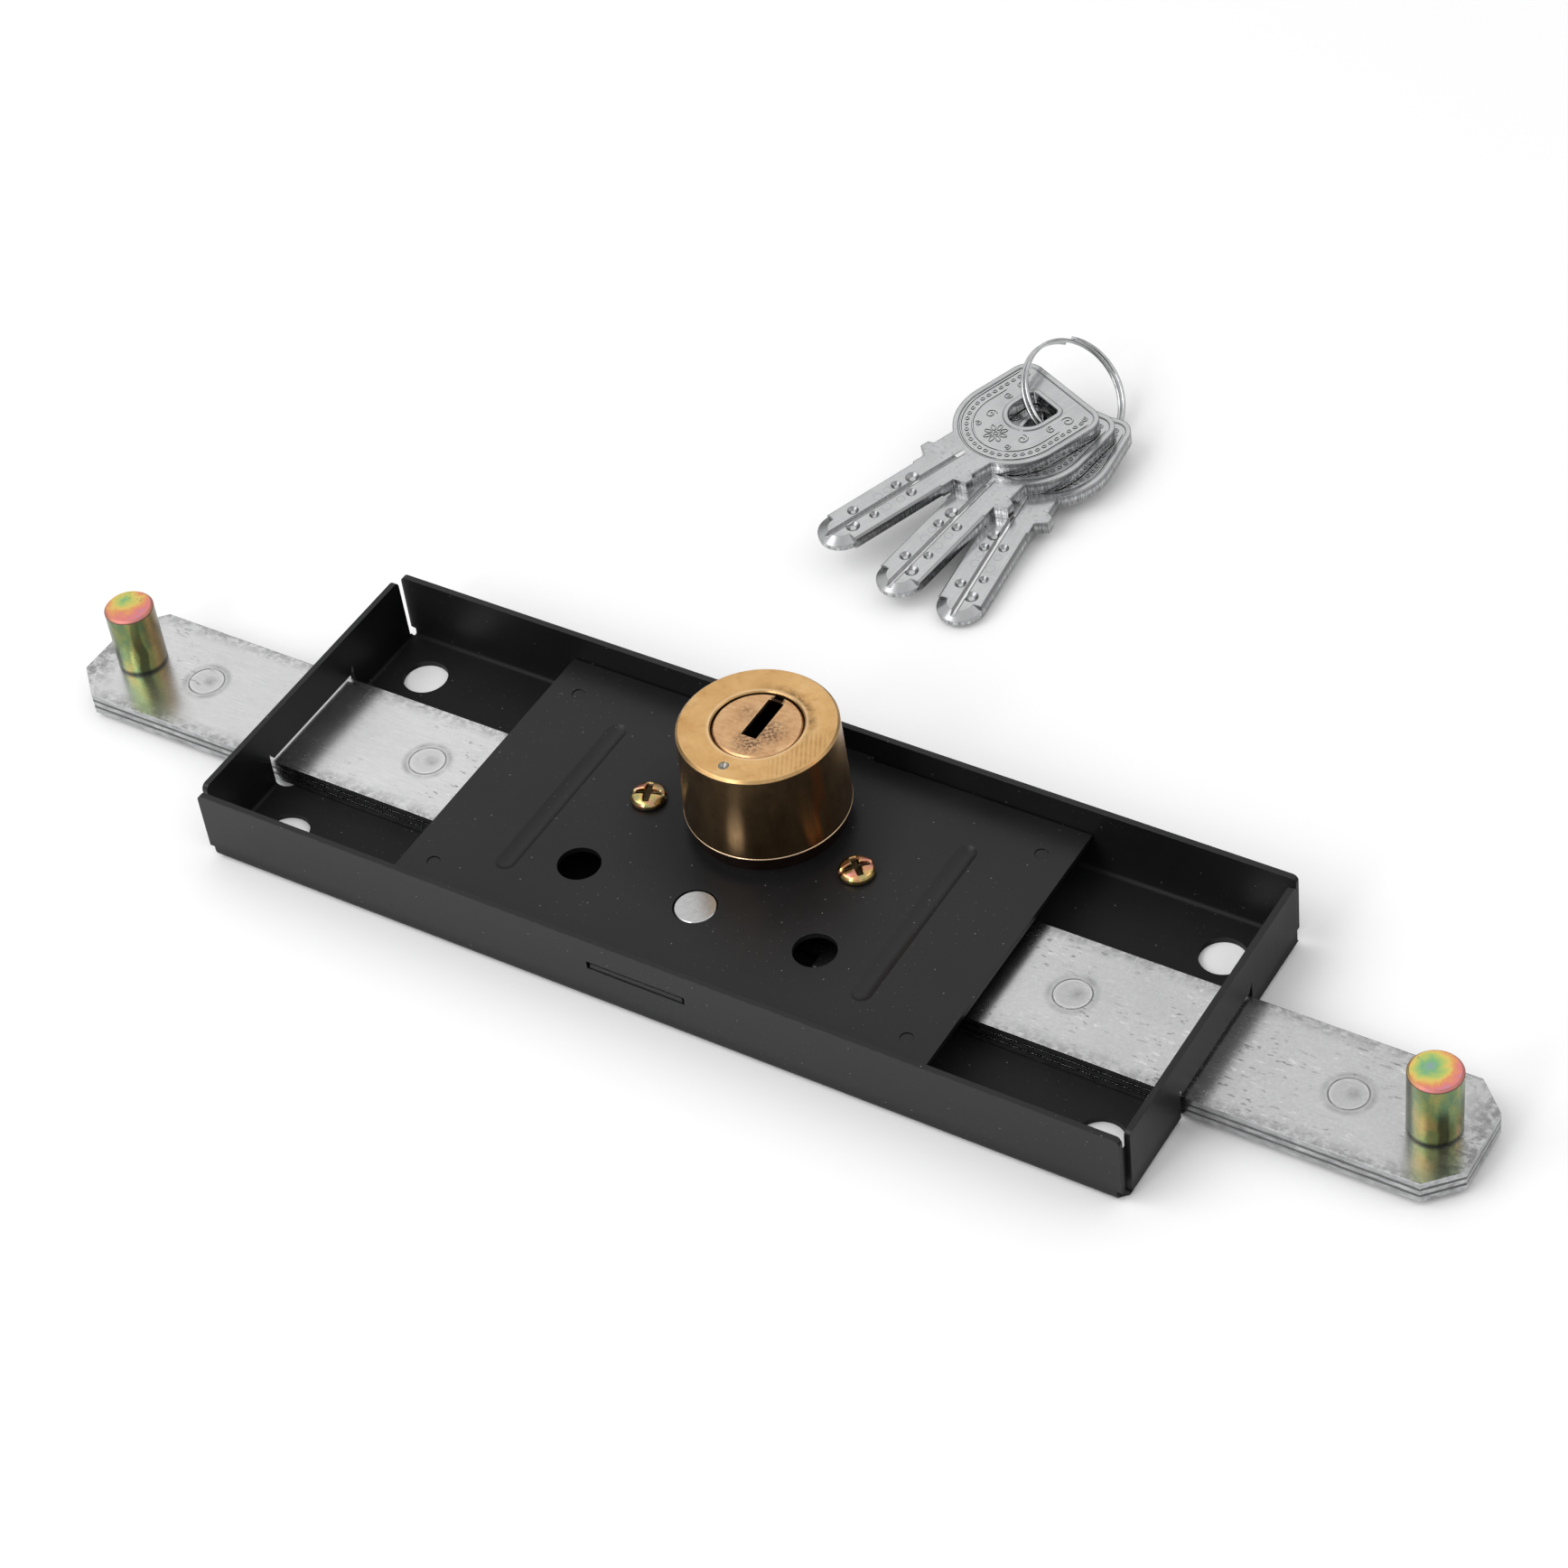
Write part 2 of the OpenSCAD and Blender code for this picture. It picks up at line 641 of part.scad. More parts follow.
// The middle strip of the right bolt reaches in past the guide post to its stud
module right_drive_plan() {
    difference() {
        union() {
            bolt_outline(right_full_x);
            translate([arm_in, arm_low])
                square([right_full_x - arm_in + eps, cyl_y - guide_gap - arm_low]);
        }
        bolt_holes();
        translate([stud_x, 0]) stud_slot(cyl_y - stud_dy, cyl_y - crank_r);
    }
}

// The middle strip of the left bolt steps back round the crank to the other stud
module left_drive_plan() {
    mirror([1, 0]) difference() {
        union() {
            bolt_outline(left_full_x);
            translate([left_full_x, 0]) square([arm_root, arm_high]);
            translate([arm_in, cyl_y + guide_gap])
                square([left_full_x + arm_root - arm_in, arm_high - cyl_y - guide_gap]);
        }
        bolt_holes();
        translate([stud_x, 0]) stud_slot(cyl_y + stud_dy, cyl_y + crank_r);
    }
}

module bolt_rivets() {
    at_rivets() translate([0, 0, bolt_z]) cylinder(h = bolt_t, d = rivet_d);
}

module locking_pin() {
    chamfer = 0.5;
    translate([tip_x - pin_inset, 0, 0]) {
        translate([0, 0, bolt_z]) cylinder(h = bolt_t + eps, d = pin_foot_d);
        translate([0, 0, bolt_top]) cylinder(h = pin_h - chamfer, d = pin_d);
        translate([0, 0, bolt_top + pin_h - chamfer])
            cylinder(h = chamfer, d1 = pin_d, d2 = pin_d - 2 * chamfer);
    }
}

module drive_layer() translate([0, 0, bolt_z + strip_t]) linear_extrude(strip_t) children();
module zinc() color([0.74, 0.75, 0.76]) children();
module passivated() color([0.76, 0.66, 0.38]) children();
module to_left() mirror([1, 0, 0]) children();

module right_top_strip() zinc() plain_strip(2);
module right_drive_strip() zinc() drive_layer() right_drive_plan();
module right_bottom_strip() zinc() plain_strip(0);
module right_rivets() zinc() bolt_rivets();
module right_locking_pin() passivated() locking_pin();
module left_top_strip() zinc() to_left() plain_strip(2);
module left_drive_strip() zinc() drive_layer() left_drive_plan();
module left_bottom_strip() zinc() to_left() plain_strip(0);
module left_rivets() zinc() to_left() bolt_rivets();
module left_locking_pin() passivated() to_left() locking_pin();

// Bow: round towards the blade, square with rounded corners at the far end
module bow_outline(inset) {
    r = bow_w / 2 - inset;
    c = 4 - inset;
    top = key_len - inset;
    centre = key_len - bow_w / 2 - 0.9;
    translate([0, centre]) circle(r);
    translate([-r, centre]) square([2 * r, top - c - centre]);
    translate([c - r, top - 2 * c]) square([2 * r - 2 * c, 2 * c]);
    for (s = [-1, 1]) translate([s * (r - c), top - c]) circle(c);
}

// Hole in the bow, grown by a margin: flat towards the bow's end, round towards the blade
module bow_hole(margin) {
    r = bow_hole_w / 2 + margin;
    c = 1 + margin;
    flat = key_len - bow_bridge + margin;
    translate([0, bow_hole_s]) circle(r);
    translate([-r, bow_hole_s]) square([2 * r, flat - c - bow_hole_s]);
    translate([c - r, flat - 2 * c]) square([2 * r - 2 * c, 2 * c]);
    for (s = [-1, 1]) translate([s * (r - c), flat - c]) circle(c);
}

// Neck with its stops, from the blade up into the bow
module neck_outline() {
    b = blade_w / 2;
    s = blade_len;
    spur = b + 2.7;
    neck = b + 1.5;
    top = key_len - bow_w / 2;
    for (m = [0, 1]) mirror([m, 0]) polygon([[0, s - 4], [b, s - 4], [b, s - 1],
        [spur, s], [spur, s + 1.9], [neck, s + 2.6], [neck, top], [0, top]]);
}

// Blade with bevelled edges and a round nose that is bevelled on both faces
module blade() {
    r = blade_w / 2;
    edge = 0.4;
    nose = 2.2;
    nose_deep = 1;
    back = blade_len - 3.5;
    translate([0, (r + back) / 2, 0]) along_y(back - r) polygon([
        [edge - r, 0], [r - edge, 0], [r, edge], [r, key_t - edge],
        [r - edge, key_t], [edge - r, key_t], [-r, key_t - edge], [-r, edge]]);
    translate([0, r, 0]) rotate_extrude() polygon([
        [0, 0], [r - nose, 0], [r, nose_deep],
        [r, key_t - nose_deep], [r - nose, key_t], [0, key_t]]);
}

// Conical dimples of one face: two groups, the second the mirror of the first
module dimples() {
    near = 8;
    far = blade_len - 8;
    deep = 0.55;
    floor_share = 0.45;
    spots = [[1.6, near - 1.2, 1.5], [-2.1, near + 1.5, 1.2], [1.9, near + 4, 1],
        [-1.4, far + 1.2, 1.5], [-1.9, far - 2.6, 1.1], [2, far - 1.6, 1.1]];
    for (d = spots) translate([d[0], d[1], -eps])
        cylinder(h = deep + eps, r1 = d[2] + 0.1, r2 = d[2] * floor_share, $fn = 32);
}

// Shallow panel of one face of the bow, between a rim and a collar round the hole
module bow_panel() {
    rim = 1.1;
    collar = 1;
    deep = 0.2;
    translate([0, 0, -eps]) linear_extrude(deep + eps) difference() {
        bow_outline(rim);
        bow_hole(collar);
    }
}

// A key lies flat with its tip at the origin and its bow along +Y
module key() color([0.80, 0.80, 0.81]) {
    groove_w = 1;
    groove_deep = 0.55;
    groove_on = 3.5;
    difference() {
        union() {
            blade();
            linear_extrude(key_t) {
                neck_outline();
                bow_outline(0);
            }
        }
        translate([0, 0, -eps]) linear_extrude(key_t + 2 * eps) bow_hole(0);
        for (z = [-eps, key_t - groove_deep]) translate([-groove_w / 2, -eps, z])
            cube([groove_w, blade_len + groove_on, groove_deep + eps]);
        for (m = [0, 1]) translate([0, 0, m * key_t]) mirror([0, 0, m]) {
            dimples();
            bow_panel();
        }
    }
}

// The keys' common frame: raised at the ring's end, which lies under the bows
module key_frame() translate([keys_at[0], keys_at[1], 0]) rotate([keys_tilt, 0, 0]) children();

// Key i of the fan, hung on the ring at its own height
module fanned_key(i) {
    key_frame() translate(hang_at(i)) rotate(-key_fan[i]) translate([0, -hang_s, 0]) key();
}

module key_1() fanned_key(0);
module key_2() fanned_key(1);
module key_3() fanned_key(2);

// Split ring: two turns of one wire, leaning through the three bows
module split_ring() color([0.72, 0.72, 0.73]) {
    per_turn = 40;
    turns = 2;
    start = 130;
    route = [for (i = [0:turns * per_turn]) let(a = start + 360 * i / per_turn)
        [ring_r * cos(a), ring_r * sin(a), ring_pitch * (i / per_turn - turns / 2)]];
    echo(ring_gap=coil_gap(route, per_turn, ring_wire_d));
    key_frame() translate([0, hang_s + ring_r, 1.5 * level]) rotate([0, ring_lean, 0])
        tube(route, ring_wire_d / 2, 8);
}

case();
cover_plate();
spacer_posts();
guide_post();
cylinder_yoke();
cylinder_screws();
cylinder_core();
cylinder_cap();
anti_drill_pin();
driver_pins();
pin_springs();
plug();
key_pins();
retaining_clip();
crank();
crank_studs();
right_top_strip();
right_drive_strip();
right_bottom_strip();
right_rivets();
right_locking_pin();
left_top_strip();
left_drive_strip();
left_bottom_strip();
left_rivets();
left_locking_pin();
key_1();
key_2();
key_3();
split_ring();
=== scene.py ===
"""Looks of a roller shutter lock: black case, laminated zinc bolts, brass cylinder, nickel keys."""

import json
import math

import bmesh
import bpy
from mathutils import Matrix, Vector


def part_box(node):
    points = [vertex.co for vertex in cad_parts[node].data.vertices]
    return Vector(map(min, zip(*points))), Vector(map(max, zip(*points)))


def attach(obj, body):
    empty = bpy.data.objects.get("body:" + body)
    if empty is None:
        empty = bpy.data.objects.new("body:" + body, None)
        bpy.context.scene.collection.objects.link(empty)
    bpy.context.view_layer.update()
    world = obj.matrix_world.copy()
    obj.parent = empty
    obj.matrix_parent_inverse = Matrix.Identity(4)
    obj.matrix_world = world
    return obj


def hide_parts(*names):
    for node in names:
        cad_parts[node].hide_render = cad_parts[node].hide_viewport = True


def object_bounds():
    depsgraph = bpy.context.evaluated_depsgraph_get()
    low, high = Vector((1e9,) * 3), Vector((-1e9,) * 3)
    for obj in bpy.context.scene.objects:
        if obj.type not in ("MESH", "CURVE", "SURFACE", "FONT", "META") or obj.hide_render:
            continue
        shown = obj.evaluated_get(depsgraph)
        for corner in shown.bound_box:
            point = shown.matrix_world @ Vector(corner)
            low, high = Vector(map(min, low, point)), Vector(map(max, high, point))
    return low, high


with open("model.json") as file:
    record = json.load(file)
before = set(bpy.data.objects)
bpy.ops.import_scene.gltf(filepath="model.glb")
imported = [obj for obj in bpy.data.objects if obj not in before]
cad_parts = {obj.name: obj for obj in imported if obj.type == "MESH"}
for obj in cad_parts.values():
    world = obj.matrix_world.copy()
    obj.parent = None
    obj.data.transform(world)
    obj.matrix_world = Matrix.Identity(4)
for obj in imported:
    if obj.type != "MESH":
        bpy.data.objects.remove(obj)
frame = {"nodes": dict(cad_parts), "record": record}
cad_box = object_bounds()
NODES = frame["nodes"]
MM = 0.001

# Places on the lock, in metres, read from the frame
CASE_FRONT = cad_box[0].y
CAP_LOW, CAP_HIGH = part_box("cylinder_cap")
CYL_X = (CAP_LOW.x + CAP_HIGH.x) / 2
CYL_Y = (CAP_LOW.y + CAP_HIGH.y) / 2
CYL_TOP = CAP_HIGH.z
CAP_BOTTOM = CAP_LOW.z
COVER_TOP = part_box("cover_plate")[1].z
CAP_R = (CAP_HIGH.x - CAP_LOW.x) / 2
BOLT_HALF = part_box("right_top_strip")[1].y
SEAMS = [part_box("right_top_strip")[0].z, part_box("right_drive_strip")[0].z]
SCREWS_LOW, SCREWS_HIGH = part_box("cylinder_screws")
SCREW_R = (SCREWS_HIGH.y - SCREWS_LOW.y) / 2
SCREW_X = SCREWS_HIGH.x - SCREW_R
SCREW_Y = (SCREWS_LOW.y + SCREWS_HIGH.y) / 2
PIN_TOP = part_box("right_locking_pin")[1].z
PIN_X = (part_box("right_locking_pin")[0].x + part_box("right_locking_pin")[1].x) / 2

# The chamfer round the pins' ends, as in the part's source
PIN_CHAMFER = 0.5 * MM

# The bolts' rivets along X, in millimetres
RIVETS = {"right": [125.6, 71.2], "left": [-125.6, -71.2]}

# The keys' frames, in millimetres and degrees, as in the part's source
KEYS_AT = Vector((-6.5, 81, 0))
KEYS_TILT = 4.23159
KEY_FAN = [24, 8.5, -3.5]
KEY_STEP = 3.05
HANG_S = 54.6
HANG_AT = [(-KEY_STEP, 55.4, 2 * KEY_STEP), (0, HANG_S, KEY_STEP), (KEY_STEP, 55.4, 0)]
KEY_LEN = 63.7
KEY_T = 3.0
BOW_W = 26.0

# Knocks in the coat of the front wall: x, z and size, in millimetres
KNOCKS = ((-55.5, 5.7, 0.75), (-93.5, 10.2, 0.5), (28.5, 4.6, 0.35))

# Tool circles on a key's blade: x, y and radius, in millimetres
TOOL_CIRCLES = ((1.9, 15.2, 0.95), (-1.7, 15.6, 0.95), (-1.9, 18.2, 0.85), (2.0, 18.6, 0.85))

# Colours of the chromate film on pins and screws, from thin (0) to thick (1)
FILM = (
    (0.0, (0.30, 0.40, 0.44)),
    (0.20, (0.24, 0.50, 0.24)),
    (0.38, (0.50, 0.60, 0.17)),
    (0.54, (0.80, 0.60, 0.17)),
    (0.68, (0.82, 0.36, 0.15)),
    (0.84, (0.80, 0.25, 0.24)),
    (1.0, (0.56, 0.30, 0.44)),
)

# Short names of the shader's inputs
SOCKETS = {
    "colour": "Base Color",
    "metal": "Metallic",
    "rough": "Roughness",
    "normal": "Normal",
    "specular": "Specular IOR Level",
    "anisotropic": "Anisotropic",
    "turned": "Anisotropic Rotation",
}


def key_frame():
    return Matrix.Translation(KEYS_AT) @ Matrix.Rotation(math.radians(KEYS_TILT), 4, "X")


def key_place(i):
    """From a key's own frame (tip at the origin, bow along +Y) to the lock's, in millimetres."""
    turn = Matrix.Rotation(math.radians(-KEY_FAN[i]), 4, "Z")
    return key_frame() @ Matrix.Translation(HANG_AT[i]) @ turn @ Matrix.Translation((0, -HANG_S, 0))


def rgba(colour):
    """A grey or a colour of three numbers as four numbers; a socket stays as it is."""
    if isinstance(colour, (int, float)):
        colour = (colour, colour, colour)
    return (*colour, 1) if isinstance(colour, tuple) else colour


class Tree:
    """A material's nodes, made by short calls that return their output socket."""

    def __init__(self, name, into=None):
        self.material = bpy.data.materials.new(name)
        self.material.use_nodes = True
        self.nodes = self.material.node_tree.nodes
        self.links = self.material.node_tree.links
        self.shader = self.nodes["Principled BSDF"]
        source = self.nodes.new("ShaderNodeTexCoord")
        self.place = source.outputs["Object"]
        self.facing = source.outputs["Normal"]
        if into is not None:
            back = into.inverted()
            turn, move = back.to_euler("XYZ"), back.translation * MM
            self.place = self.mapped(turn=tuple(turn), move=tuple(move))

    def link(self, value, socket):
        if isinstance(value, bpy.types.NodeSocket):
            self.links.new(value, socket)
        else:
            socket.default_value = value

    def mapped(self, scale=(1, 1, 1), turn=(0, 0, 0), move=(0, 0, 0)):
        node = self.nodes.new("ShaderNodeMapping")
        self.link(self.place, node.inputs["Vector"])
        node.inputs["Location"].default_value = move
        node.inputs["Rotation"].default_value = turn
        node.inputs["Scale"].default_value = scale
        return node.outputs["Vector"]

    def combined(self, x, y=0.0, z=0.0):
        node = self.nodes.new("ShaderNodeCombineXYZ")
        for value, socket in zip((x, y, z), node.inputs):
            self.link(value, socket)
        return node.outputs[0]

    def noise(self, scale, detail, rough=0.5, distortion=0, vector=None):
        node = self.nodes.new("ShaderNodeTexNoise")
        self.link(vector or self.place, node.inputs["Vector"])
        node.inputs["Scale"].default_value = scale
        node.inputs["Detail"].default_value = detail
        node.inputs["Roughness"].default_value = rough
        node.inputs["Distortion"].default_value = distortion
        return node.outputs[0]

    def grain(self, scale, detail=3, rough=0.5, turn=(0, 0, 0), move=(0, 0, 0)):
        """Noise stretched by a scale per axis."""
        return self.noise(1, detail, rough, 0, self.mapped(scale, turn, move))

    def cells(self, scale, vector=None, flat=False):
        """Distance to the nearest of many scattered points, in space or on a plane."""
        node = self.nodes.new("ShaderNodeTexVoronoi")
        if flat:
            node.voronoi_dimensions = "2D"
        self.link(vector or self.place, node.inputs["Vector"])
        node.inputs["Scale"].default_value = scale
        return node.outputs["Distance"]

    def math(self, kind, a, b=0.0):
        node = self.nodes.new("ShaderNodeMath")
        node.operation = kind
        for value, socket in zip((a, b), node.inputs):
            self.link(value, socket)
        return node.outputs[0]

    def absolute(self, a):
        return self.math("ABSOLUTE", a)

    def add(self, a, b):
        return self.math("ADD", a, b)

    def take(self, a, b):
        return self.math("SUBTRACT", a, b)

    def times(self, a, b):
        return self.math("MULTIPLY", a, b)

    def most(self, a, b):
        return self.math("MAXIMUM", a, b)

    def ramp(self, value, *stops):
        """Colour stops, each (place, colour or grey)."""
        node = self.nodes.new("ShaderNodeValToRGB")
        self.link(value, node.inputs[0])
        elements = node.color_ramp.elements
        while len(elements) < len(stops):
            elements.new(0.5)
        for element, (where, colour) in zip(elements, stops):
            element.position = where
            element.color = rgba(colour)
        return node.outputs[0]

    def level(self, value, low, high, to_low=0.0, to_high=1.0):
        node = self.nodes.new("ShaderNodeMapRange")
        self.link(value, node.inputs[0])
        for number, socket in zip((low, high, to_low, to_high), node.inputs[1:5]):
            socket.default_value = number
        return node.outputs[0]

    def mix(self, share, a, b):
        node = self.nodes.new("ShaderNodeMix")
        node.data_type = "RGBA"
        self.link(share, node.inputs["Factor"])
        for value, socket in ((a, node.inputs[6]), (b, node.inputs[7])):
            self.link(rgba(value), socket)
        return node.outputs[2]

    def tint(self, base, mask, share, colour):
        """The base with a share of a colour where the mask is 1."""
        return self.mix(self.times(mask, share), base, colour)

    def axis(self, name, vector=None):
        node = self.nodes.new("ShaderNodeSeparateXYZ")
        self.link(vector or self.place, node.inputs[0])
        return node.outputs[name]

    def flat(self):
        """1 on level faces, 0 on upright ones."""
        return self.level(self.absolute(self.axis("Z", self.facing)), 0.35, 0.75)

    def length(self, a, b):
        """Length of a vector from its two parts."""
        return self.math("SQRT", self.add(self.times(a, a), self.times(b, b)))

    def radius(self, x, y):
        """Distance from an upright axis through x, y."""
        return self.length(self.take(self.axis("X"), x), self.take(self.axis("Y"), y))

    def angle(self, x, y):
        return self.math("ARCTAN2", self.take(self.axis("Y"), y), self.take(self.axis("X"), x))

    def ring(self, distance, at, width):
        """1 on a thin ring at that distance, 0 away from it."""
        return self.level(self.absolute(self.take(distance, at)), 0, width, 1, 0)

    def spot(self, x, y, size, soft):
        """1 round an upright axis, 0 away from it, with a soft rim."""
        return self.level(self.radius(x, y), size * (1 - soft), size * (1 + soft), 1, 0)

    def rounded(self, radius):
        """The normal as if the solid's edges were round."""
        node = self.nodes.new("ShaderNodeBevel")
        node.samples = 6
        node.inputs["Radius"].default_value = radius
        return node.outputs[0]

    def edge(self, size, gain):
        """1 on outer and inner edges of the solid, 0 on its faces."""
        flat = self.nodes.new("ShaderNodeNewGeometry").outputs["Normal"]
        dot = self.nodes.new("ShaderNodeVectorMath")
        dot.operation = "DOT_PRODUCT"
        self.links.new(self.rounded(size), dot.inputs[0])
        self.links.new(flat, dot.inputs[1])
        bent = self.take(1.0, dot.outputs["Value"])
        return self.math("MINIMUM", self.times(bent, gain), 1.0)

    def bump(self, height, strength, depth, rounding=0.0):
        node = self.nodes.new("ShaderNodeBump")
        node.inputs["Strength"].default_value = strength
        node.inputs["Distance"].default_value = depth
        self.link(height, node.inputs["Height"])
        if rounding:
            self.links.new(self.rounded(rounding), node.inputs["Normal"])
        return node.outputs[0]

    def lathe_tangent(self):
        """Lets highlights stretch across the turning lines."""
        node = self.nodes.new("ShaderNodeTangent")
        node.direction_type = "RADIAL"
        node.axis = "Z"
        self.links.new(node.outputs[0], self.shader.inputs["Tangent"])

    def set(self, **values):
        """Sets the shader's inputs by their short names and returns the material."""
        for key, value in values.items():
            self.link(rgba(value) if key == "colour" else value, self.shader.inputs[SOCKETS[key]])
        return self.material


def coat_material():
    """Satin black stoving paint: fine orange peel, stray dust, arrises lighter from rubbing and as
    painted highlight, small knocks darkened as painted shade.
    """
    t = Tree("black_coat")
    cloud = t.noise(38, 5, 0.6)
    mottle = t.noise(420, 4, 0.6)
    sheet = t.combined(t.axis("X"), t.add(t.axis("Y"), t.axis("Z")))
    dust = t.level(t.cells(95, sheet, flat=True), 0.006, 0.016, 1, 0)
    fine_dust = t.level(t.cells(330, sheet, flat=True), 0.016, 0.036, 1, 0)
    fine_dust = t.times(fine_dust, t.level(t.noise(70, 3), 0.48, 0.62, 0.1, 0.7))
    dust = t.most(dust, fine_dust)
    # Arrises painted lighter: partly paint worn by rubbing, partly a painted highlight where the
    # edges catch light
    arris = t.edge(0.22 * MM, 3.5)
    rubbed_and_highlight = t.times(arris, t.level(t.noise(420, 3, 0.6), 0.50, 0.64, 0.12, 1))
    base = t.ramp(cloud, (0.3, (0.0060, 0.0060, 0.0068)), (0.7, (0.0105, 0.0105, 0.0115)))
    base = t.tint(base, dust, 0.62, 0.24)
    base = t.tint(base, rubbed_and_highlight, 0.30, (0.14, 0.14, 0.145))
    front = t.level(t.axis("Y"), CASE_FRONT - 0.2 * MM, CASE_FRONT + 0.4 * MM, 1, 0)
    knocks = 0.0
    for x, z, size in KNOCKS:
        away = t.length(t.take(t.axis("X"), x * MM), t.take(t.axis("Z"), z * MM))
        knocks = t.most(knocks, t.level(away, size * 0.4 * MM, size * MM, 1, 0))
    knocks = t.times(knocks, front)
    # Painted shade darkens the knocks, which the bump dents
    base = t.tint(base, knocks, 0.9, 0.001)
    peel = t.add(t.noise(1900, 2, 0.5), t.times(mottle, 0.5))
    height = t.take(peel, t.times(knocks, 9.0))
    tray = t.level(t.axis("Z"), 1.6 * MM, 5.0 * MM, 1, 0)
    rough = t.add(t.level(cloud, 0.3, 0.7, 0.31, 0.38), t.times(mottle, 0.05))
    rough = t.add(rough, t.times(tray, 0.20))
    # Painted shade: less sheen on the end walls, more so towards the back, on the floor of the
    # tray, and in front of the cap, where it stands for the cap's shadow and dark reflection
    ends = t.level(t.absolute(t.axis("X", t.facing)), 0.7, 0.9)
    floor = t.times(t.flat(), tray)
    cap_shade = t.level(t.radius(CYL_X, CYL_Y - 4 * MM), 17 * MM, 29 * MM, 0.12, 0)
    end_wall_shade = t.times(ends, t.level(t.axis("Y"), -10 * MM, 30 * MM, 0.18, 0.26))
    sheen = t.take(t.take(0.31, end_wall_shade), t.times(floor, 0.12))
    sheen = t.take(sheen, cap_shade)
    return t.set(colour=base, metal=0.0, rough=rough, specular=sheen,
                 normal=t.bump(height, 0.10, 0.02 * MM, rounding=0.18 * MM))


def zinc_material(name, rivets, seed, wear, tone):
    """Galvanised strip: rolling grain, dark and light nicks, dulled stained edges, rings round the
    rivets; painted highlights on rivets and edges, painted shade in the rivets' dents, along the
    seams and on the faces' edges.
    """
    t = Tree(name)
    flat = t.flat()
    on_side = t.take(1.0, flat)
    cloud = t.noise(48, 5, 0.6, 0.4, t.mapped(move=(seed, 0, 0)))
    rolled = t.grain((260, 1900, 1900), 4, 0.65)
    fine = t.noise(1500, 3, 0.6)
    nick = t.grain((520, 1700, 1700), 2, 0.5, move=(seed, 2, 0))
    dark_nick = t.level(nick, 0.625, 0.70)
    light_nick = t.level(nick, 0.30, 0.37, 1, 0)
    patch = t.level(t.noise(62, 4, 0.55, 0, t.mapped(move=(seed, 4, 0))), 0.50 - wear, 0.66 - wear)
    across = t.absolute(t.axis("Y"))
    border = t.level(across, BOLT_HALF - 3.4 * MM, BOLT_HALF - 0.3 * MM)
    tip = t.level(t.absolute(t.axis("X")), PIN_X + 1 * MM, PIN_X + 8 * MM)
    border = t.most(t.times(border, 0.75), tip) if rivets else 0.0
    worn = t.most(patch, t.times(border, 0.8))
    hair_along = t.grain((30, 2400, 2400), 3, 0.55, (0, 0, 0.35), (seed, 0, 0))
    hair_across = t.grain((2200, 34, 2000), 3, 0.55, (0, 0, 0.5), (0, seed, 0))
    hair = t.most(t.level(hair_along, 0.665, 0.70), t.level(hair_across, 0.675, 0.71))

    base = t.ramp(cloud, (0.30, tone * 0.90), (0.70, tone * 1.08))
    base = t.tint(base, t.level(rolled, 0.35, 0.65), 0.22, (0.46, 0.465, 0.47))
    base = t.tint(base, t.level(fine, 0.42, 0.66), 0.20, (0.78, 0.785, 0.79))
    base = t.tint(base, t.times(dark_nick, worn), 0.75, 0.17)
    base = t.tint(base, t.times(light_nick, worn), 0.55, 0.90)
    mottle = t.noise(700, 4, 0.65)
    dulled = t.times(border, t.level(mottle, 0.40, 0.58, 0.10, 0.80))
    base = t.mix(dulled, base, (0.20, 0.20, 0.205))
    base = t.tint(base, hair, 0.22, (0.86, 0.86, 0.87))
    height = t.take(t.times(rolled, 0.5), t.times(t.most(dark_nick, hair), worn))
    rough = t.add(t.level(cloud, 0.25, 0.75, 0.20, 0.27), t.times(t.times(dark_nick, worn), 0.2))
    for x in rivets:
        away = t.radius(x * MM, 0)
        around = t.noise(1, 2, 0.5, 0, t.combined(t.times(t.angle(x * MM, 0), 1.2), x))
        line = t.times(t.ring(away, 3.66 * MM, 0.30 * MM), t.level(around, 0.30, 0.60, 0.35, 1))
        # Painted highlight: a bright ring round the rivet's head
        rivet_highlight = t.times(t.ring(away, 3.38 * MM, 0.2 * MM), t.level(around, 0.42, 0.62, 0.1, 1))
        halo = t.times(t.ring(away, 4.45 * MM, 0.95 * MM), t.level(around, 0.30, 0.66, 1, 0.3))
        disc = t.level(away, 2.6 * MM, 3.4 * MM, 1, 0)
        base = t.mix(t.times(disc, t.level(cloud, 0.3, 0.7, 0.2, 0.45)), base, tone * 0.70)
        # Painted shade: a dark spot in the rivet's middle stands for its dent, which has no bump
        dent_shade = t.spot((x + 0.7) * MM, 0.3 * MM, 1.0 * MM, 0.8)
        dent_shade = t.times(dent_shade, t.level(mottle, 0.35, 0.60, 0.35, 0.75))
        base = t.mix(dent_shade, base, (0.27, 0.27, 0.275))
        base = t.tint(base, halo, 0.62, (0.20, 0.20, 0.205))
        base = t.tint(base, rivet_highlight, 0.5, 0.92)
        base = t.tint(base, line, 0.85, 0.10)
        height = t.take(height, t.times(line, 2.5))
        height = t.take(height, t.times(halo, 1.6))

    shear = t.grain((380, 700, 900), 4, 0.65)
    upright = t.ramp(shear, (0.30, (0.26, 0.26, 0.265)), (0.50, (0.42, 0.425, 0.43)),
                     (0.70, (0.58, 0.585, 0.59)))
    # Painted shade along the seams between the stacked strips
    for z in SEAMS:
        seam_shade = t.ring(t.axis("Z"), z, 0.40 * MM)
        upright = t.mix(t.math("MINIMUM", t.times(seam_shade, 1.7), 0.95), upright, 0.035)
    base = t.mix(flat, upright, base)
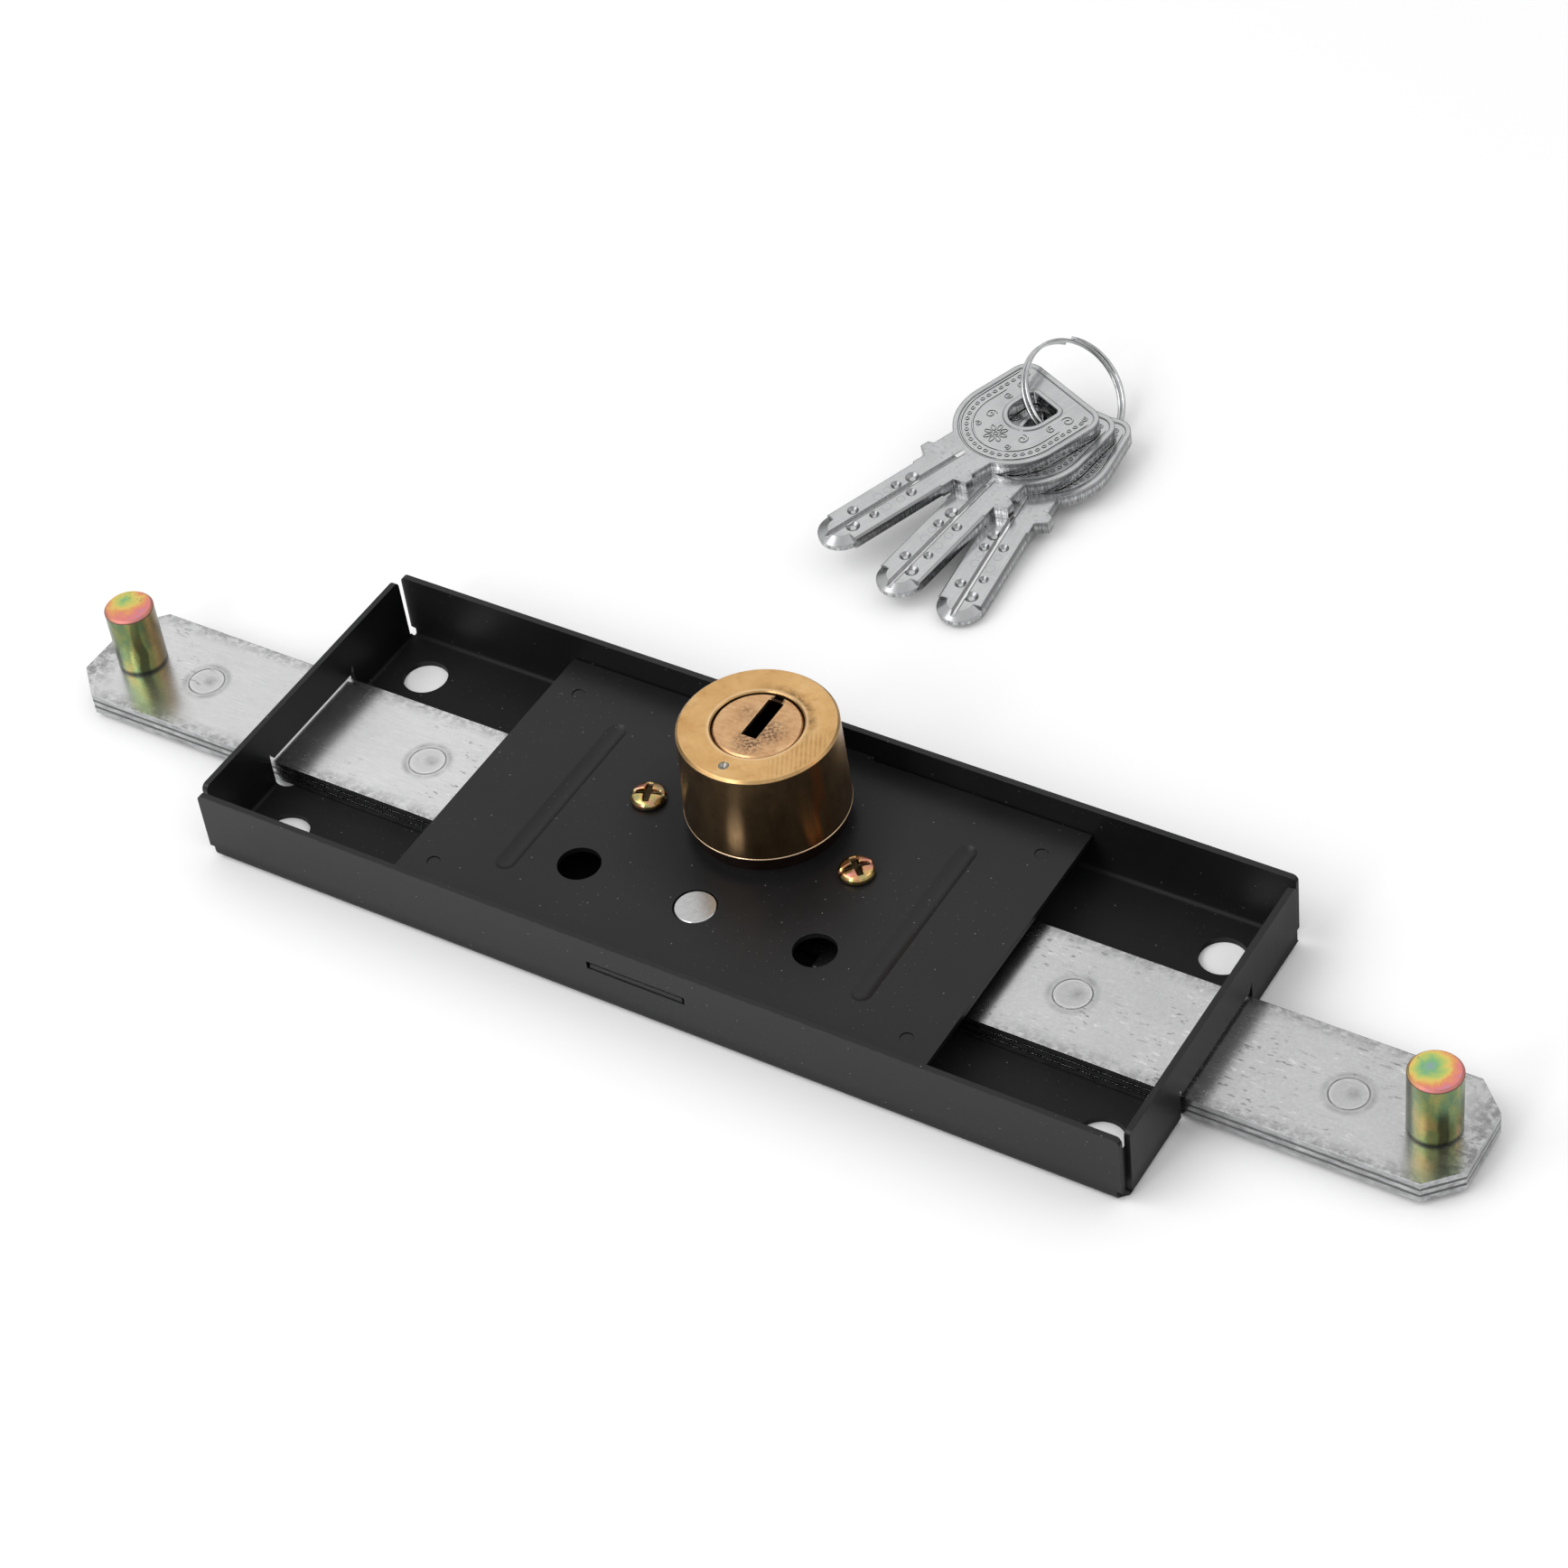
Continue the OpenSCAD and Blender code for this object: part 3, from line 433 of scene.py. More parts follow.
    # Painted highlight on the edges of the strips' sides, painted shade on the edges of their faces
    bright = t.times(t.edge(0.20 * MM, 4.0), 0.42)
    base = t.mix(t.times(bright, on_side), base, (0.86, 0.86, 0.865))
    base = t.mix(t.times(bright, t.times(flat, 0.7)), base, (0.20, 0.20, 0.205))
    height = t.add(t.times(height, flat), t.times(t.times(shear, 0.35), on_side))
    return t.set(colour=base, metal=1.0, rough=rough,
                 normal=t.bump(height, 0.22, 0.03 * MM, rounding=0.14 * MM))


def pin_material(name, x, core, start, seed, dark_at, reflection_top, warm):
    """Yellow chromate on a turned pin: rings of film on its end, drifting gold and green down it.

    The pin stands at x, and its rings are centred at core from there, in millimetres, where the
    film is as thick as start. A painted dark reflection runs down the side at the angle dark_at,
    as strong as reflection_top at its top. Copper as strong as warm lies beside it.
    """
    t = Tree(name)
    flat = t.flat()
    on_side = t.take(1.0, flat)
    turn = t.angle(x * MM, 0)
    z = t.axis("Z")
    drift = t.noise(330, 3, 0.55, 0.6, t.mapped(move=(seed, 0, 0)))
    away = t.radius((x + core[0]) * MM, core[1] * MM)
    end = t.add(t.level(away, 0, 5.6 * MM, start, 0.88), t.level(drift, 0.3, 0.7, -0.12, 0.12))
    round_it = t.combined(t.times(turn, 1.1), t.times(z, 90.0), seed)
    body = t.level(t.noise(1.6, 3, 0.55, 0.3, round_it), 0.30, 0.72, 0.16, 0.62)
    film = t.ramp(t.add(t.times(end, flat), t.times(body, on_side)), *FILM)
    spots = t.level(t.noise(1300, 3, 0.6), 0.60, 0.70)
    patch = t.level(t.noise(260, 3, 0.5, 0, t.mapped(move=(0, seed, 0))), 0.46, 0.66)
    film = t.tint(film, t.times(spots, patch), 0.7, (0.12, 0.11, 0.08))
    # Painted dark reflection of the dark things in front, in a band down the side, deepest in the
    # lower half
    waver = t.noise(1, 2, 0.5, 0, t.combined(t.times(z, 150.0), seed))
    from_dark = t.take(t.add(turn, t.level(waver, 0, 1, -0.3, 0.3)), dark_at)
    reflection_column = t.level(t.absolute(from_dark), 0.14, 0.46, 1, 0)
    fade = t.level(z, PIN_TOP - 7 * MM, PIN_TOP - 0.5 * MM, 1, reflection_top)
    reflection_column = t.times(reflection_column, fade)
    # The flanks, a quarter turn from the dark band, get a painted grey reflection
    sides = t.level(t.math("COSINE", t.take(turn, dark_at)), 0.20, 0.74, 1, 0)
    copper = t.times(t.level(from_dark, 0.25, 0.60), on_side)
    film = t.tint(film, copper, warm, (0.62, 0.26, 0.07))
    film = t.tint(film, on_side, 0.18, (0.27, 0.29, 0.26))
    film = t.tint(film, t.times(sides, on_side), 0.72, (0.30, 0.31, 0.31))
    # Darker down the side: film made dull by the noise, and the painted dark reflection
    dull_and_reflection = t.most(t.times(reflection_column, 0.92), t.level(body, 0.16, 0.80, 0.66, 0.48))
    film = t.mix(t.times(dull_and_reflection, on_side), film, (0.045, 0.05, 0.025))
    # Painted shade darkens the foot, where it goes down into the strips' hole
    foot = t.level(z, PIN_TOP - 14.0 * MM, PIN_TOP - 13.2 * MM, 0.9, 0)
    film = t.mix(t.times(foot, on_side), film, 0.02)
    # Painted shade: the chamfer tinted darker, a dark edge, and a dark line below the chamfer
    tilt = t.absolute(t.axis("Z", t.facing))
    chamfer = t.times(t.level(tilt, 0.30, 0.45), t.level(tilt, 0.90, 0.97, 1, 0))
    film = t.tint(film, chamfer, 0.30, (0.30, 0.22, 0.20))
    film = t.tint(film, t.edge(0.16 * MM, 4.0), 0.25, (0.12, 0.09, 0.10))
    line = t.ring(z, PIN_TOP - PIN_CHAMFER, 0.16 * MM)
    film = t.tint(film, line, 0.9, (0.05, 0.035, 0.035))
    lines = t.grain((70, 70, 4200))
    rough = t.add(t.level(drift, 0.3, 0.7, 0.22, 0.32), t.times(chamfer, 0.3))
    return t.set(colour=film, metal=1.0, rough=rough,
                 normal=t.bump(lines, 0.16, 0.02 * MM, rounding=0.10 * MM))


def screw_material():
    """The same chromate on the pan heads, in smaller patches, with painted shade down in the cross
    recess and round the foot, and painted highlights on the edges.
    """
    t = Tree("yellow_zinc")
    drift = t.noise(300, 3, 0.55, 0.8, t.mapped(move=(0.3, 0, 0)))
    film = t.ramp(t.level(drift, 0.34, 0.66, 0.40, 0.90), *FILM)
    film = t.mix(0.30, film, (0.30, 0.22, 0.16))
    olive = t.level(t.noise(420, 3, 0.6, 0, t.mapped(move=(0, 0.7, 0))), 0.46, 0.58)
    film = t.tint(film, olive, 0.72, (0.31, 0.34, 0.15))
    stain = t.level(t.noise(1500, 3, 0.6), 0.58, 0.72)
    film = t.tint(film, stain, 0.5, (0.14, 0.10, 0.05))
    # Painted shade down in the cross recess
    recess_shade = t.level(t.axis("Z"), COVER_TOP + 1.45 * MM, COVER_TOP + 1.88 * MM, 0.97, 0)
    centre = 0.0
    for x in (SCREW_X, -SCREW_X):
        centre = t.most(centre, t.spot(x, SCREW_Y, 2.7 * MM, 0.06))
    film = t.mix(t.times(recess_shade, centre), film, (0.022, 0.016, 0.008))
    # Painted shade round the foot of the heads, against the cover
    foot = t.level(t.axis("Z"), COVER_TOP + 0.1 * MM, COVER_TOP + 0.9 * MM, 0.7, 0)
    film = t.mix(foot, film, (0.10, 0.085, 0.04))
    # Painted highlight on the heads' edges
    film = t.tint(film, t.edge(0.2 * MM, 4.0), 0.3, (0.80, 0.72, 0.52))
    return t.set(colour=film, metal=1.0, rough=t.level(drift, 0.3, 0.7, 0.16, 0.26),
                 normal=t.bump(t.noise(900, 3, 0.5), 0.12, 0.02 * MM, rounding=0.25 * MM))


def cap_material():
    """Turned brass: a worn golden end with chatter marks and stains, a brushed side painted dark as
    a reflection of the black plate, with painted highlights and a painted reflection of a screw.
    """
    t = Tree("brass_cap")
    flat = t.level(t.axis("Z", t.facing), 0.55, 0.85)
    away = t.radius(CYL_X, CYL_Y)
    turn = t.angle(CYL_X, CYL_Y)
    soft = t.noise(120, 5, 0.6, 0.5)
    blotch = t.noise(330, 5, 0.65, 0.4)
    rings = t.noise(1, 3, 0.6, 0, t.combined(t.times(away, 2600.0)))
    face = t.ramp(soft, (0.30, (0.66, 0.385, 0.15)), (0.52, (0.76, 0.47, 0.20)),
                  (0.72, (0.83, 0.56, 0.28)))
    face = t.mix(t.level(blotch, 0.52, 0.72, 0, 0.55), face, (0.56, 0.28, 0.09))
    rim = t.level(away, 12.5 * MM, 15.5 * MM)
    worn_rim = t.times(rim, t.level(t.noise(210, 4, 0.6), 0.44, 0.62))
    face = t.tint(face, worn_rim, 0.5, (0.50, 0.27, 0.09))
    face = t.mix(t.level(rings, 0.40, 0.70, 0, 0.16), face, (0.50, 0.28, 0.10))
    # Chatter marks of the tool, slanting across the lower right of the end
    slant, pitch = (0.883, 0.469), 0.85 * MM
    across = t.add(t.times(t.axis("X"), slant[0]), t.times(t.axis("Y"), slant[1]))
    wave = t.math("SINE", t.times(across, 2 * math.pi / pitch))
    sector = t.times(t.level(turn, -0.95, -0.75), t.level(turn, 0.10, 0.35, 1, 0))
    band = t.times(t.level(away, 9.6 * MM, 10.2 * MM), t.level(away, 14.2 * MM, 14.9 * MM, 1, 0))
    chatter = t.times(t.times(sector, band), t.level(blotch, 0.38, 0.6, 0.3, 1))
    face = t.tint(face, t.times(t.level(wave, -0.2, 0.8), chatter), 0.55, (0.36, 0.21, 0.09))
    # Stain round the plug at the upper right, and a machined ring
    upper_right = t.times(t.level(turn, -0.2, 0.5), t.level(turn, 1.4, 2.2, 1, 0))
    stain = t.times(t.ring(away, 9.9 * MM, 1.5 * MM), upper_right)
    stain = t.times(stain, t.level(t.noise(700, 4, 0.6), 0.36, 0.60))
    face = t.tint(face, stain, 0.75, (0.16, 0.085, 0.035))
    lip = t.ring(away, 9.35 * MM, 0.35 * MM)
    face = t.tint(face, lip, 0.5, (0.93, 0.70, 0.45))
    pits = t.level(t.cells(520), 0.0, 0.07, 1, 0)
    face = t.mix(t.times(pits, t.level(soft, 0.5, 0.7, 0, 0.8)), face, (0.25, 0.13, 0.05))

    # The side is painted dark brown as a reflection of the black cover round it
    tone = t.noise(1, 4, 0.6, 0, t.combined(t.times(turn, 2.4), t.times(t.axis("Z"), 40.0)))
    side = t.ramp(tone, (0.30, (0.160, 0.100, 0.050)), (0.55, (0.240, 0.152, 0.076)),
                  (0.75, (0.30, 0.185, 0.085)))
    # Painted highlight: the side lighter towards the right
    right = t.times(t.level(turn, -0.15, 0.15), t.level(turn, 0.8, 1.2, 1, 0))
    side = t.tint(side, right, 0.5, (0.50, 0.32, 0.17))
    # Painted reflection of the orange-red right screw, in a streak on the side
    streaks = t.noise(1, 3, 0.6, 0, t.combined(t.times(turn, 9.0), t.times(t.axis("Z"), 60.0)))
    screw_reflection = t.level(t.absolute(t.take(turn, -0.30)), 0.05, 0.22, 1, 0)
    screw_reflection = t.times(screw_reflection, t.level(streaks, 0.42, 0.62))
    side = t.tint(side, screw_reflection, 0.6, (0.40, 0.11, 0.02))
    side = t.mix(t.level(t.noise(900, 3, 0.6), 0.60, 0.74, 0, 0.35), side, (0.06, 0.035, 0.015))
    face = t.mix(flat, side, face)
    # Painted highlight along the edges, paler low down and golden higher up
    arris = t.edge(0.45 * MM, 4.0)
    high = t.level(t.axis("Z"), CAP_BOTTOM + 2 * MM, CYL_TOP - 2 * MM)
    face = t.tint(face, arris, 0.55, t.mix(high, (0.62, 0.50, 0.36), (0.92, 0.68, 0.34)))
    lines = t.grain((26, 26, 5200), 3, 0.6)
    height = t.add(t.times(rings, flat), t.times(lines, t.take(1.0, flat)))
    height = t.take(height, t.times(t.times(wave, chatter), 0.4))
    t.lathe_tangent()
    return t.set(colour=face, metal=1.0, rough=t.level(blotch, 0.3, 0.7, 0.27, 0.35),
                 anisotropic=0.55, turned=0.25,
                 normal=t.bump(height, 0.16, 0.02 * MM, rounding=0.18 * MM))


def plug_material():
    """Coppery end of the plug, crossed by tool lines and specked dark beside the keyway, with
    painted shade in the keyway and its notch and painted highlights on their edges.
    """
    t = Tree("brass_plug")
    blotch = t.noise(380, 5, 0.65, 0.5)
    face = t.ramp(blotch, (0.30, (0.55, 0.30, 0.14)), (0.52, (0.71, 0.43, 0.215)),
                  (0.72, (0.80, 0.53, 0.29)))
    strokes = t.grain((260, 2300, 900), 3, 0.6, (0, 0, 0.9))
    face = t.mix(t.level(strokes, 0.45, 0.70, 0, 0.4), face, (0.42, 0.21, 0.11))
    specks = t.level(t.noise(1500, 4, 0.65), 0.46, 0.56)
    near = t.most(t.spot(CYL_X + 2.9 * MM, CYL_Y - 0.8 * MM, 2.6 * MM, 0.7),
                  t.spot(CYL_X + 1.0 * MM, CYL_Y - 4.6 * MM, 2.4 * MM, 0.7))
    near = t.most(near, t.times(t.spot(CYL_X - 3.4 * MM, CYL_Y + 2.0 * MM, 1.6 * MM, 0.7), 0.5))
    face = t.tint(face, near, 0.30, (0.36, 0.22, 0.15))
    face = t.tint(face, t.times(specks, near), 0.9, (0.09, 0.05, 0.04))
    pits = t.level(t.cells(800), 0.0, 0.08, 1, 0)
    face = t.tint(face, pits, 0.5, (0.22, 0.11, 0.07))
    # Painted shade down in the keyway
    keyway_shade = t.level(t.axis("Z"), CYL_TOP - 1.3 * MM, CYL_TOP - 0.65 * MM)
    face = t.mix(keyway_shade, (0.016, 0.008, 0.005), face)
    # Painted shade: a near-black spot over the metal between the keyway and its notch
    notch_shade = t.spot(CYL_X, CYL_Y + 7.1 * MM, 1.4 * MM, 0.25)
    face = t.tint(face, notch_shade, 0.97, (0.016, 0.008, 0.005))
    # Painted highlight on the keyway's edges
    glint = t.times(t.times(t.edge(0.35 * MM, 4.0), keyway_shade), t.take(1.0, notch_shade))
    face = t.tint(face, glint, 0.55, (0.90, 0.66, 0.46))
    height = t.add(strokes, t.times(specks, near))
    return t.set(colour=face, metal=1.0, rough=t.level(blotch, 0.3, 0.7, 0.28, 0.42),
                 normal=t.bump(height, 0.2, 0.02 * MM, rounding=0.2 * MM))


def core_material():
    """Brass of the barrel's neck, painted near black for the shade and the dark reflection of the
    black plate it stands in.
    """
    t = Tree("brass_core")
    cloud = t.noise(300, 4, 0.6)
    tone = t.ramp(cloud, (0.3, (0.045, 0.028, 0.022)), (0.7, (0.090, 0.058, 0.045)))
    lines = t.grain((30, 30, 3600), 3, 0.6)
    return t.set(colour=tone, metal=1.0, rough=0.42, normal=t.bump(lines, 0.2, 0.03 * MM))


def steel_material(name, tone, rough):
    """Plain machined or pressed steel with a faint brushing."""
    t = Tree(name)
    cloud = t.noise(160, 5, 0.6)
    lines = t.grain((120, 2600, 2600), 3, 0.6)
    low = tuple(c * 0.78 for c in tone)
    return t.set(colour=t.ramp(cloud, (0.3, low), (0.7, tone)), metal=1.0,
                 rough=t.level(cloud, 0.3, 0.7, rough - 0.04, rough + 0.06),
                 normal=t.bump(lines, 0.15, 0.02 * MM, rounding=0.1 * MM))


def key_material(i):
    """Nickel on a stamped key: fine handling marks, faint tool circles, sheared edges; painted
    shade on its edges, sloping faces and lower sides, painted highlights on its side edges and
    milled channel.
    """
    t = Tree(f"nickel_{i + 1}", into=key_place(i))
    flat = t.flat()
    on_side = t.take(1.0, flat)
    y = t.axis("Y")
    cloud = t.noise(150, 5, 0.6, 0.3)
    fine = t.noise(1700, 3, 0.6)
    along = t.grain((2300, 150, 900), 3, 0.6)
    hair = t.most(t.level(t.grain((1900, 60, 900), 3, 0.5, (0, 0, 0.9)), 0.67, 0.71),
                  t.level(t.grain((70, 1900, 900), 3, 0.5, (0, 0, 0.4)), 0.68, 0.72))
    tone = t.ramp(cloud, (0.30, (0.50, 0.505, 0.51)), (0.70, (0.60, 0.605, 0.61)))
    tone = t.mix(t.level(along, 0.40, 0.70, 0, 0.18), tone, (0.40, 0.405, 0.41))
    tone = t.mix(t.level(fine, 0.56, 0.72, 0, 0.2), tone, (0.76, 0.765, 0.77))
    tone = t.tint(tone, hair, 0.3, 0.85)
    marks = 0.0
    for mark_x, mark_y, size in TOOL_CIRCLES:
        away = t.radius(mark_x * MM, mark_y * MM)
        marks = t.most(marks, t.ring(away, size * MM, 0.13 * MM))
    marks = t.times(marks, flat)
    tone = t.tint(tone, marks, 0.45, (0.25, 0.25, 0.255))
    # Painted shade on the sloping faces near the key's top, round the dimples
    bowl = t.level(t.absolute(t.axis("Z", t.facing)), 0.80, 0.96, 1, 0)
    cut_shade = t.times(bowl, t.level(t.axis("Z"), KEY_T * MM - 1.1 * MM, KEY_T * MM - 0.9 * MM))
    shoulder = t.times(t.level(y, 29.5 * MM, 31 * MM), t.level(y, 35 * MM, 38 * MM, 1, 0))
    nibble = t.times(t.level(t.grain((900, 1500, 900)), 0.55, 0.66), shoulder)
    tone = t.tint(tone, nibble, 0.3, (0.20, 0.20, 0.205))
    shear = t.grain((2600, 2600, 330), 3, 0.65)
    upright = t.ramp(shear, (0.32, (0.17, 0.17, 0.175)), (0.52, (0.40, 0.405, 0.41)),
                     (0.70, (0.72, 0.725, 0.73)))
    # Painted shade: the sides darker towards the bottom of the key
    low = t.level(t.axis("Z"), 0.9 * MM, 1.3 * MM, 0.45, 0)
    upright = t.mix(low, upright, 0.10)
    tone = t.mix(flat, upright, tone)
    tone = t.tint(tone, cut_shade, 0.72, (0.16, 0.16, 0.165))
    across = t.absolute(t.axis("X"))
    milled = t.times(t.level(y, 36 * MM, 37 * MM, 1, 0), t.level(y, 1.6 * MM, 2.4 * MM))
    milled = t.times(milled, t.level(t.axis("Z"), KEY_T * MM - 0.7 * MM, KEY_T * MM - 0.6 * MM))
    # Painted highlight on the floor of the milled channel
    groove_highlight = t.times(t.level(across, 0.38 * MM, 0.46 * MM, 1, 0), milled)
    lines = t.times(t.ring(across, 0.60 * MM, 0.24 * MM), t.times(milled, flat))
    # Painted shade as dark lines on the top's edges and beside the milled channel, painted
    # highlight on the sides' edges
    edge_shade_and_highlight = t.most(t.times(t.edge(0.38 * MM, 10.0), t.take(1.0, groove_highlight)), t.times(lines, 0.8))
    tone = t.tint(tone, t.times(edge_shade_and_highlight, flat), 0.92, (0.09, 0.09, 0.095))
    tone = t.tint(tone, t.times(edge_shade_and_highlight, on_side), 0.35, (0.88, 0.88, 0.885))
    tone = t.tint(tone, groove_highlight, 0.75, 0.92)
    height = t.add(t.times(t.add(fine, along), 0.2), t.times(t.times(shear, 1.2), on_side))
    height = t.take(height, t.add(t.times(marks, 1.2), t.times(nibble, 0.5)))
    return t.set(colour=tone, metal=1.0, rough=t.level(cloud, 0.3, 0.7, 0.17, 0.25),
                 normal=t.bump(height, 0.2, 0.02 * MM, rounding=0.16 * MM))


def relief_material(i):
    """The same nickel on the raised ornament: polished tops, slopes painted dark as shade."""
    t = Tree(f"nickel_relief_{i + 1}", into=key_place(i))
    top = t.level(t.absolute(t.axis("Z", t.facing)), 0.80, 0.97)
    cloud = t.noise(300, 4, 0.6)
    tone = t.ramp(cloud, (0.3, (0.58, 0.585, 0.59)), (0.7, (0.74, 0.745, 0.75)))
    # Painted shade on the slopes of the ornament
    slope_shade = t.ramp(cloud, (0.3, (0.05, 0.05, 0.052)), (0.7, (0.14, 0.14, 0.142)))
    return t.set(colour=t.mix(top, slope_shade, tone), metal=1.0, rough=0.24,
                 normal=t.bump(t.noise(1500, 3, 0.5), 0.1, 0.02 * MM))


def drill_pin_material():
    """Ground end of the hardened pin, with painted shade in a dark V on its centre mark."""
    t = Tree("drill_pin")
    low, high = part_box("anti_drill_pin")
    x, y = (low.x + high.x) / 2, (low.y + high.y) / 2
    away = t.radius(x, y)
    dx, dy = t.absolute(t.take(t.axis("X"), x)), t.take(t.axis("Y"), y)
    vee_shade = t.absolute(t.take(t.times(dx, 2.0), t.add(dy, 0.45 * MM)))
    middle = t.level(away, 0.85 * MM, 1.0 * MM, 1, 0)
    vee_shade = t.times(t.level(vee_shade, 0.06 * MM, 0.30 * MM, 1, 0), middle)
    rim = t.ring(away, (high.x - low.x) / 2, 0.30 * MM)
    tone = t.ramp(t.noise(900, 3, 0.6), (0.3, (0.30, 0.28, 0.24)), (0.7, (0.50, 0.48, 0.43)))
    # Painted shade in a V on the centre mark; a dark ring where the pin meets the cap
    tone = t.tint(tone, t.most(vee_shade, rim), 0.8, (0.12, 0.10, 0.07))
    return t.set(colour=tone, metal=1.0, rough=0.52,
                 normal=t.bump(t.noise(1300, 3, 0.5), 0.2, 0.02 * MM))


def ring_material():
    """Bright nickelled spring wire with drawn lines."""
    t = Tree("nickel_wire")
    cloud = t.noise(420, 4, 0.6)
    tone = t.ramp(cloud, (0.3, (0.42, 0.425, 0.43)), (0.7, (0.62, 0.625, 0.63)))
    return t.set(colour=tone, metal=1.0, rough=0.16,
                 normal=t.bump(t.noise(1600, 3, 0.5), 0.12, 0.02 * MM))


MATERIALS = {
    "black_coat": coat_material(),
    "yellow_zinc": screw_material(),
    "brass_cap": cap_material(),
    "cap_lip": steel_material("cap_lip", (0.86, 0.62, 0.40), 0.22),
    "brass_core": core_material(),
    "brass_plug": plug_material(),
    "brass_pins": steel_material("brass_pins", (0.78, 0.55, 0.26), 0.3),
    "bright_steel": steel_material("bright_steel", (0.74, 0.74, 0.75), 0.24),
    "inner_steel": steel_material("inner_steel", (0.45, 0.46, 0.47), 0.4),
    "nickel": ring_material(),
    "zinc_right": zinc_material("zinc_right", RIVETS["right"], seed=0.0, wear=0.06, tone=0.56),
    "zinc_left": zinc_material("zinc_left", RIVETS["left"], seed=3.7, wear=-0.02, tone=0.70),
    "zinc_plate": zinc_material("zinc_plate", [], seed=1.9, wear=-0.05, tone=0.52),
    "anti_drill_pin": drill_pin_material(),
    **{f"relief_{i + 1}": relief_material(i) for i in range(3)},
    **{f"key_{i + 1}": key_material(i) for i in range(3)},
    "right_locking_pin": pin_material(
        "yellow_zinc_right", PIN_X / MM, core=(-1.4, 0.4), start=0.0, seed=2.0,
        dark_at=-0.85, reflection_top=0.30, warm=0.0),
    "left_locking_pin": pin_material(
        "yellow_zinc_left", -PIN_X / MM, core=(-2.0, 1.5), start=0.26, seed=5.0,
        dark_at=-0.75, reflection_top=0.85, warm=0.75),
}


def dress(obj, material):
    obj.data.materials.clear()
    obj.data.materials.append(material)


def dress_cad():
    """Gives each node of the CAD its own look or its slot's; the strips differ by side."""
    for part in frame["record"]["subparts"]:
        name, slot = part["node"], part["material_slot"]
        look = name if name in MATERIALS else slot
        if slot == "zinc_plate" and name.startswith(("right_", "left_")):
            look = "zinc_" + name.split("_")[0]
        dress(NODES[name], MATERIALS[look])


def add_piece(name, bm, body, look, replaced=None):
    """Turns a mesh in millimetres into a piece of the lock that rides on a body."""
    bmesh.ops.recalc_face_normals(bm, faces=bm.faces)
    bmesh.ops.scale(bm, vec=(MM, MM, MM), verts=bm.verts)
    mesh = bpy.data.meshes.new(name)
    bm.to_mesh(mesh)
    bm.free()
    piece = bpy.data.objects.new(name, mesh)
    bpy.context.scene.collection.objects.link(piece)
    dress(piece, MATERIALS[look])
    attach(piece, body)
    if replaced:
        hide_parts(replaced)


# Shared steps of the meshes, in millimetres

def turns(n):
    """Angles of n equal steps round a circle."""
    return [2 * math.pi * k / n for k in range(n)]


def circle(bm, x, y, z, r, sides):
    return [bm.verts.new((x + r * math.cos(a), y + r * math.sin(a), z)) for a in turns(sides)]


def skin(bm, rings, closed=False, smooth=True):
    """Joins rings of vertices one to the next, then closes the run or caps its two ends."""
    pairs = list(zip(rings, rings[1:]))
    if closed:
        pairs.append((rings[-1], rings[0]))
    for a, b in pairs:
        for k in range(len(a)):
            n = (k + 1) % len(a)
            bm.faces.new((a[k], a[n], b[n], b[k])).smooth = smooth
    if not closed:
        bm.faces.new(rings[0])
        bm.faces.new(rings[-1])


def smooth_step(a, b, x):
    t = min(1.0, max(0.0, (x - a) / (b - a)))
    return t * t * (3 - 2 * t)


# Relief of a bow: ridges swept along paths in the key's own frame

PANEL_Z = KEY_T - 0.2
PATH_STEP = 0.7
ROSETTE_Y = 44.7


def spaced(a, b):
    n = int(abs(b - a) / PATH_STEP)
    return [a + (b - a) * k / n for k in range(n + 1)]


def bow_path(inset, top):
    """Down the left side of the bow, round its end by the blade and up the right side."""
    r = BOW_W / 2 - inset
    centre = KEY_LEN - BOW_W / 2 - 0.9
    path = [(-r, y) for y in spaced(top, centre)]
    steps = int(math.pi * r / PATH_STEP)
    for k in range(1, steps):
        a = math.pi * k / steps
        path.append((-r * math.cos(a), centre - r * math.sin(a)))
    return path + [(r, y) for y in spaced(centre, top)]


def loop(x, y, rx, ry, turn, n=10):
    """Points of an ellipse."""
    c, s = math.cos(turn), math.sin(turn)
    ring = [(rx * math.cos(a), ry * math.sin(a)) for a in turns(n)]
    return [(x + c * a - s * b, y + s * a + c * b) for a, b in ring]


def scroll(x, y, size, turn, hand):
    """Spiral that opens outwards into a tail."""
    curls, n = 1.35, 22
    path = []
    for k in range(n + 1):
        a = turn + hand * 2 * math.pi * curls * k / n
        r = size * (0.22 + 0.78 * (k / n) ** 1.2)
        path.append((x + r * math.cos(a), y + r * math.sin(a)))
    return path


def ridge(bm, path, width, height, closed=False):
    """Low closed bar along a path, a little sunk in the panel, with thin ends if it is open."""
    shape = ((-0.5, -0.3), (-0.17, 1.0), (0.17, 1.0), (0.5, -0.3))
    last = len(path) - 1
    rows = []
    for k, (x, y) in enumerate(path):
        x0, y0 = path[k - 1] if closed or k > 0 else path[0]
        x1, y1 = path[(k + 1) % len(path)] if closed or k < last else path[last]
        length = math.hypot(x1 - x0, y1 - y0)
        thin = 1.0 if closed or 0 < k < last else 0.45
        wide, tall = width * thin, height * thin
        nx, ny = -(y1 - y0) / length * wide, (x1 - x0) / length * wide
        rows.append([bm.verts.new((x + nx * u, y + ny * u, PANEL_Z + v * tall)) for u, v in shape])
    skin(bm, rows, closed, smooth=False)


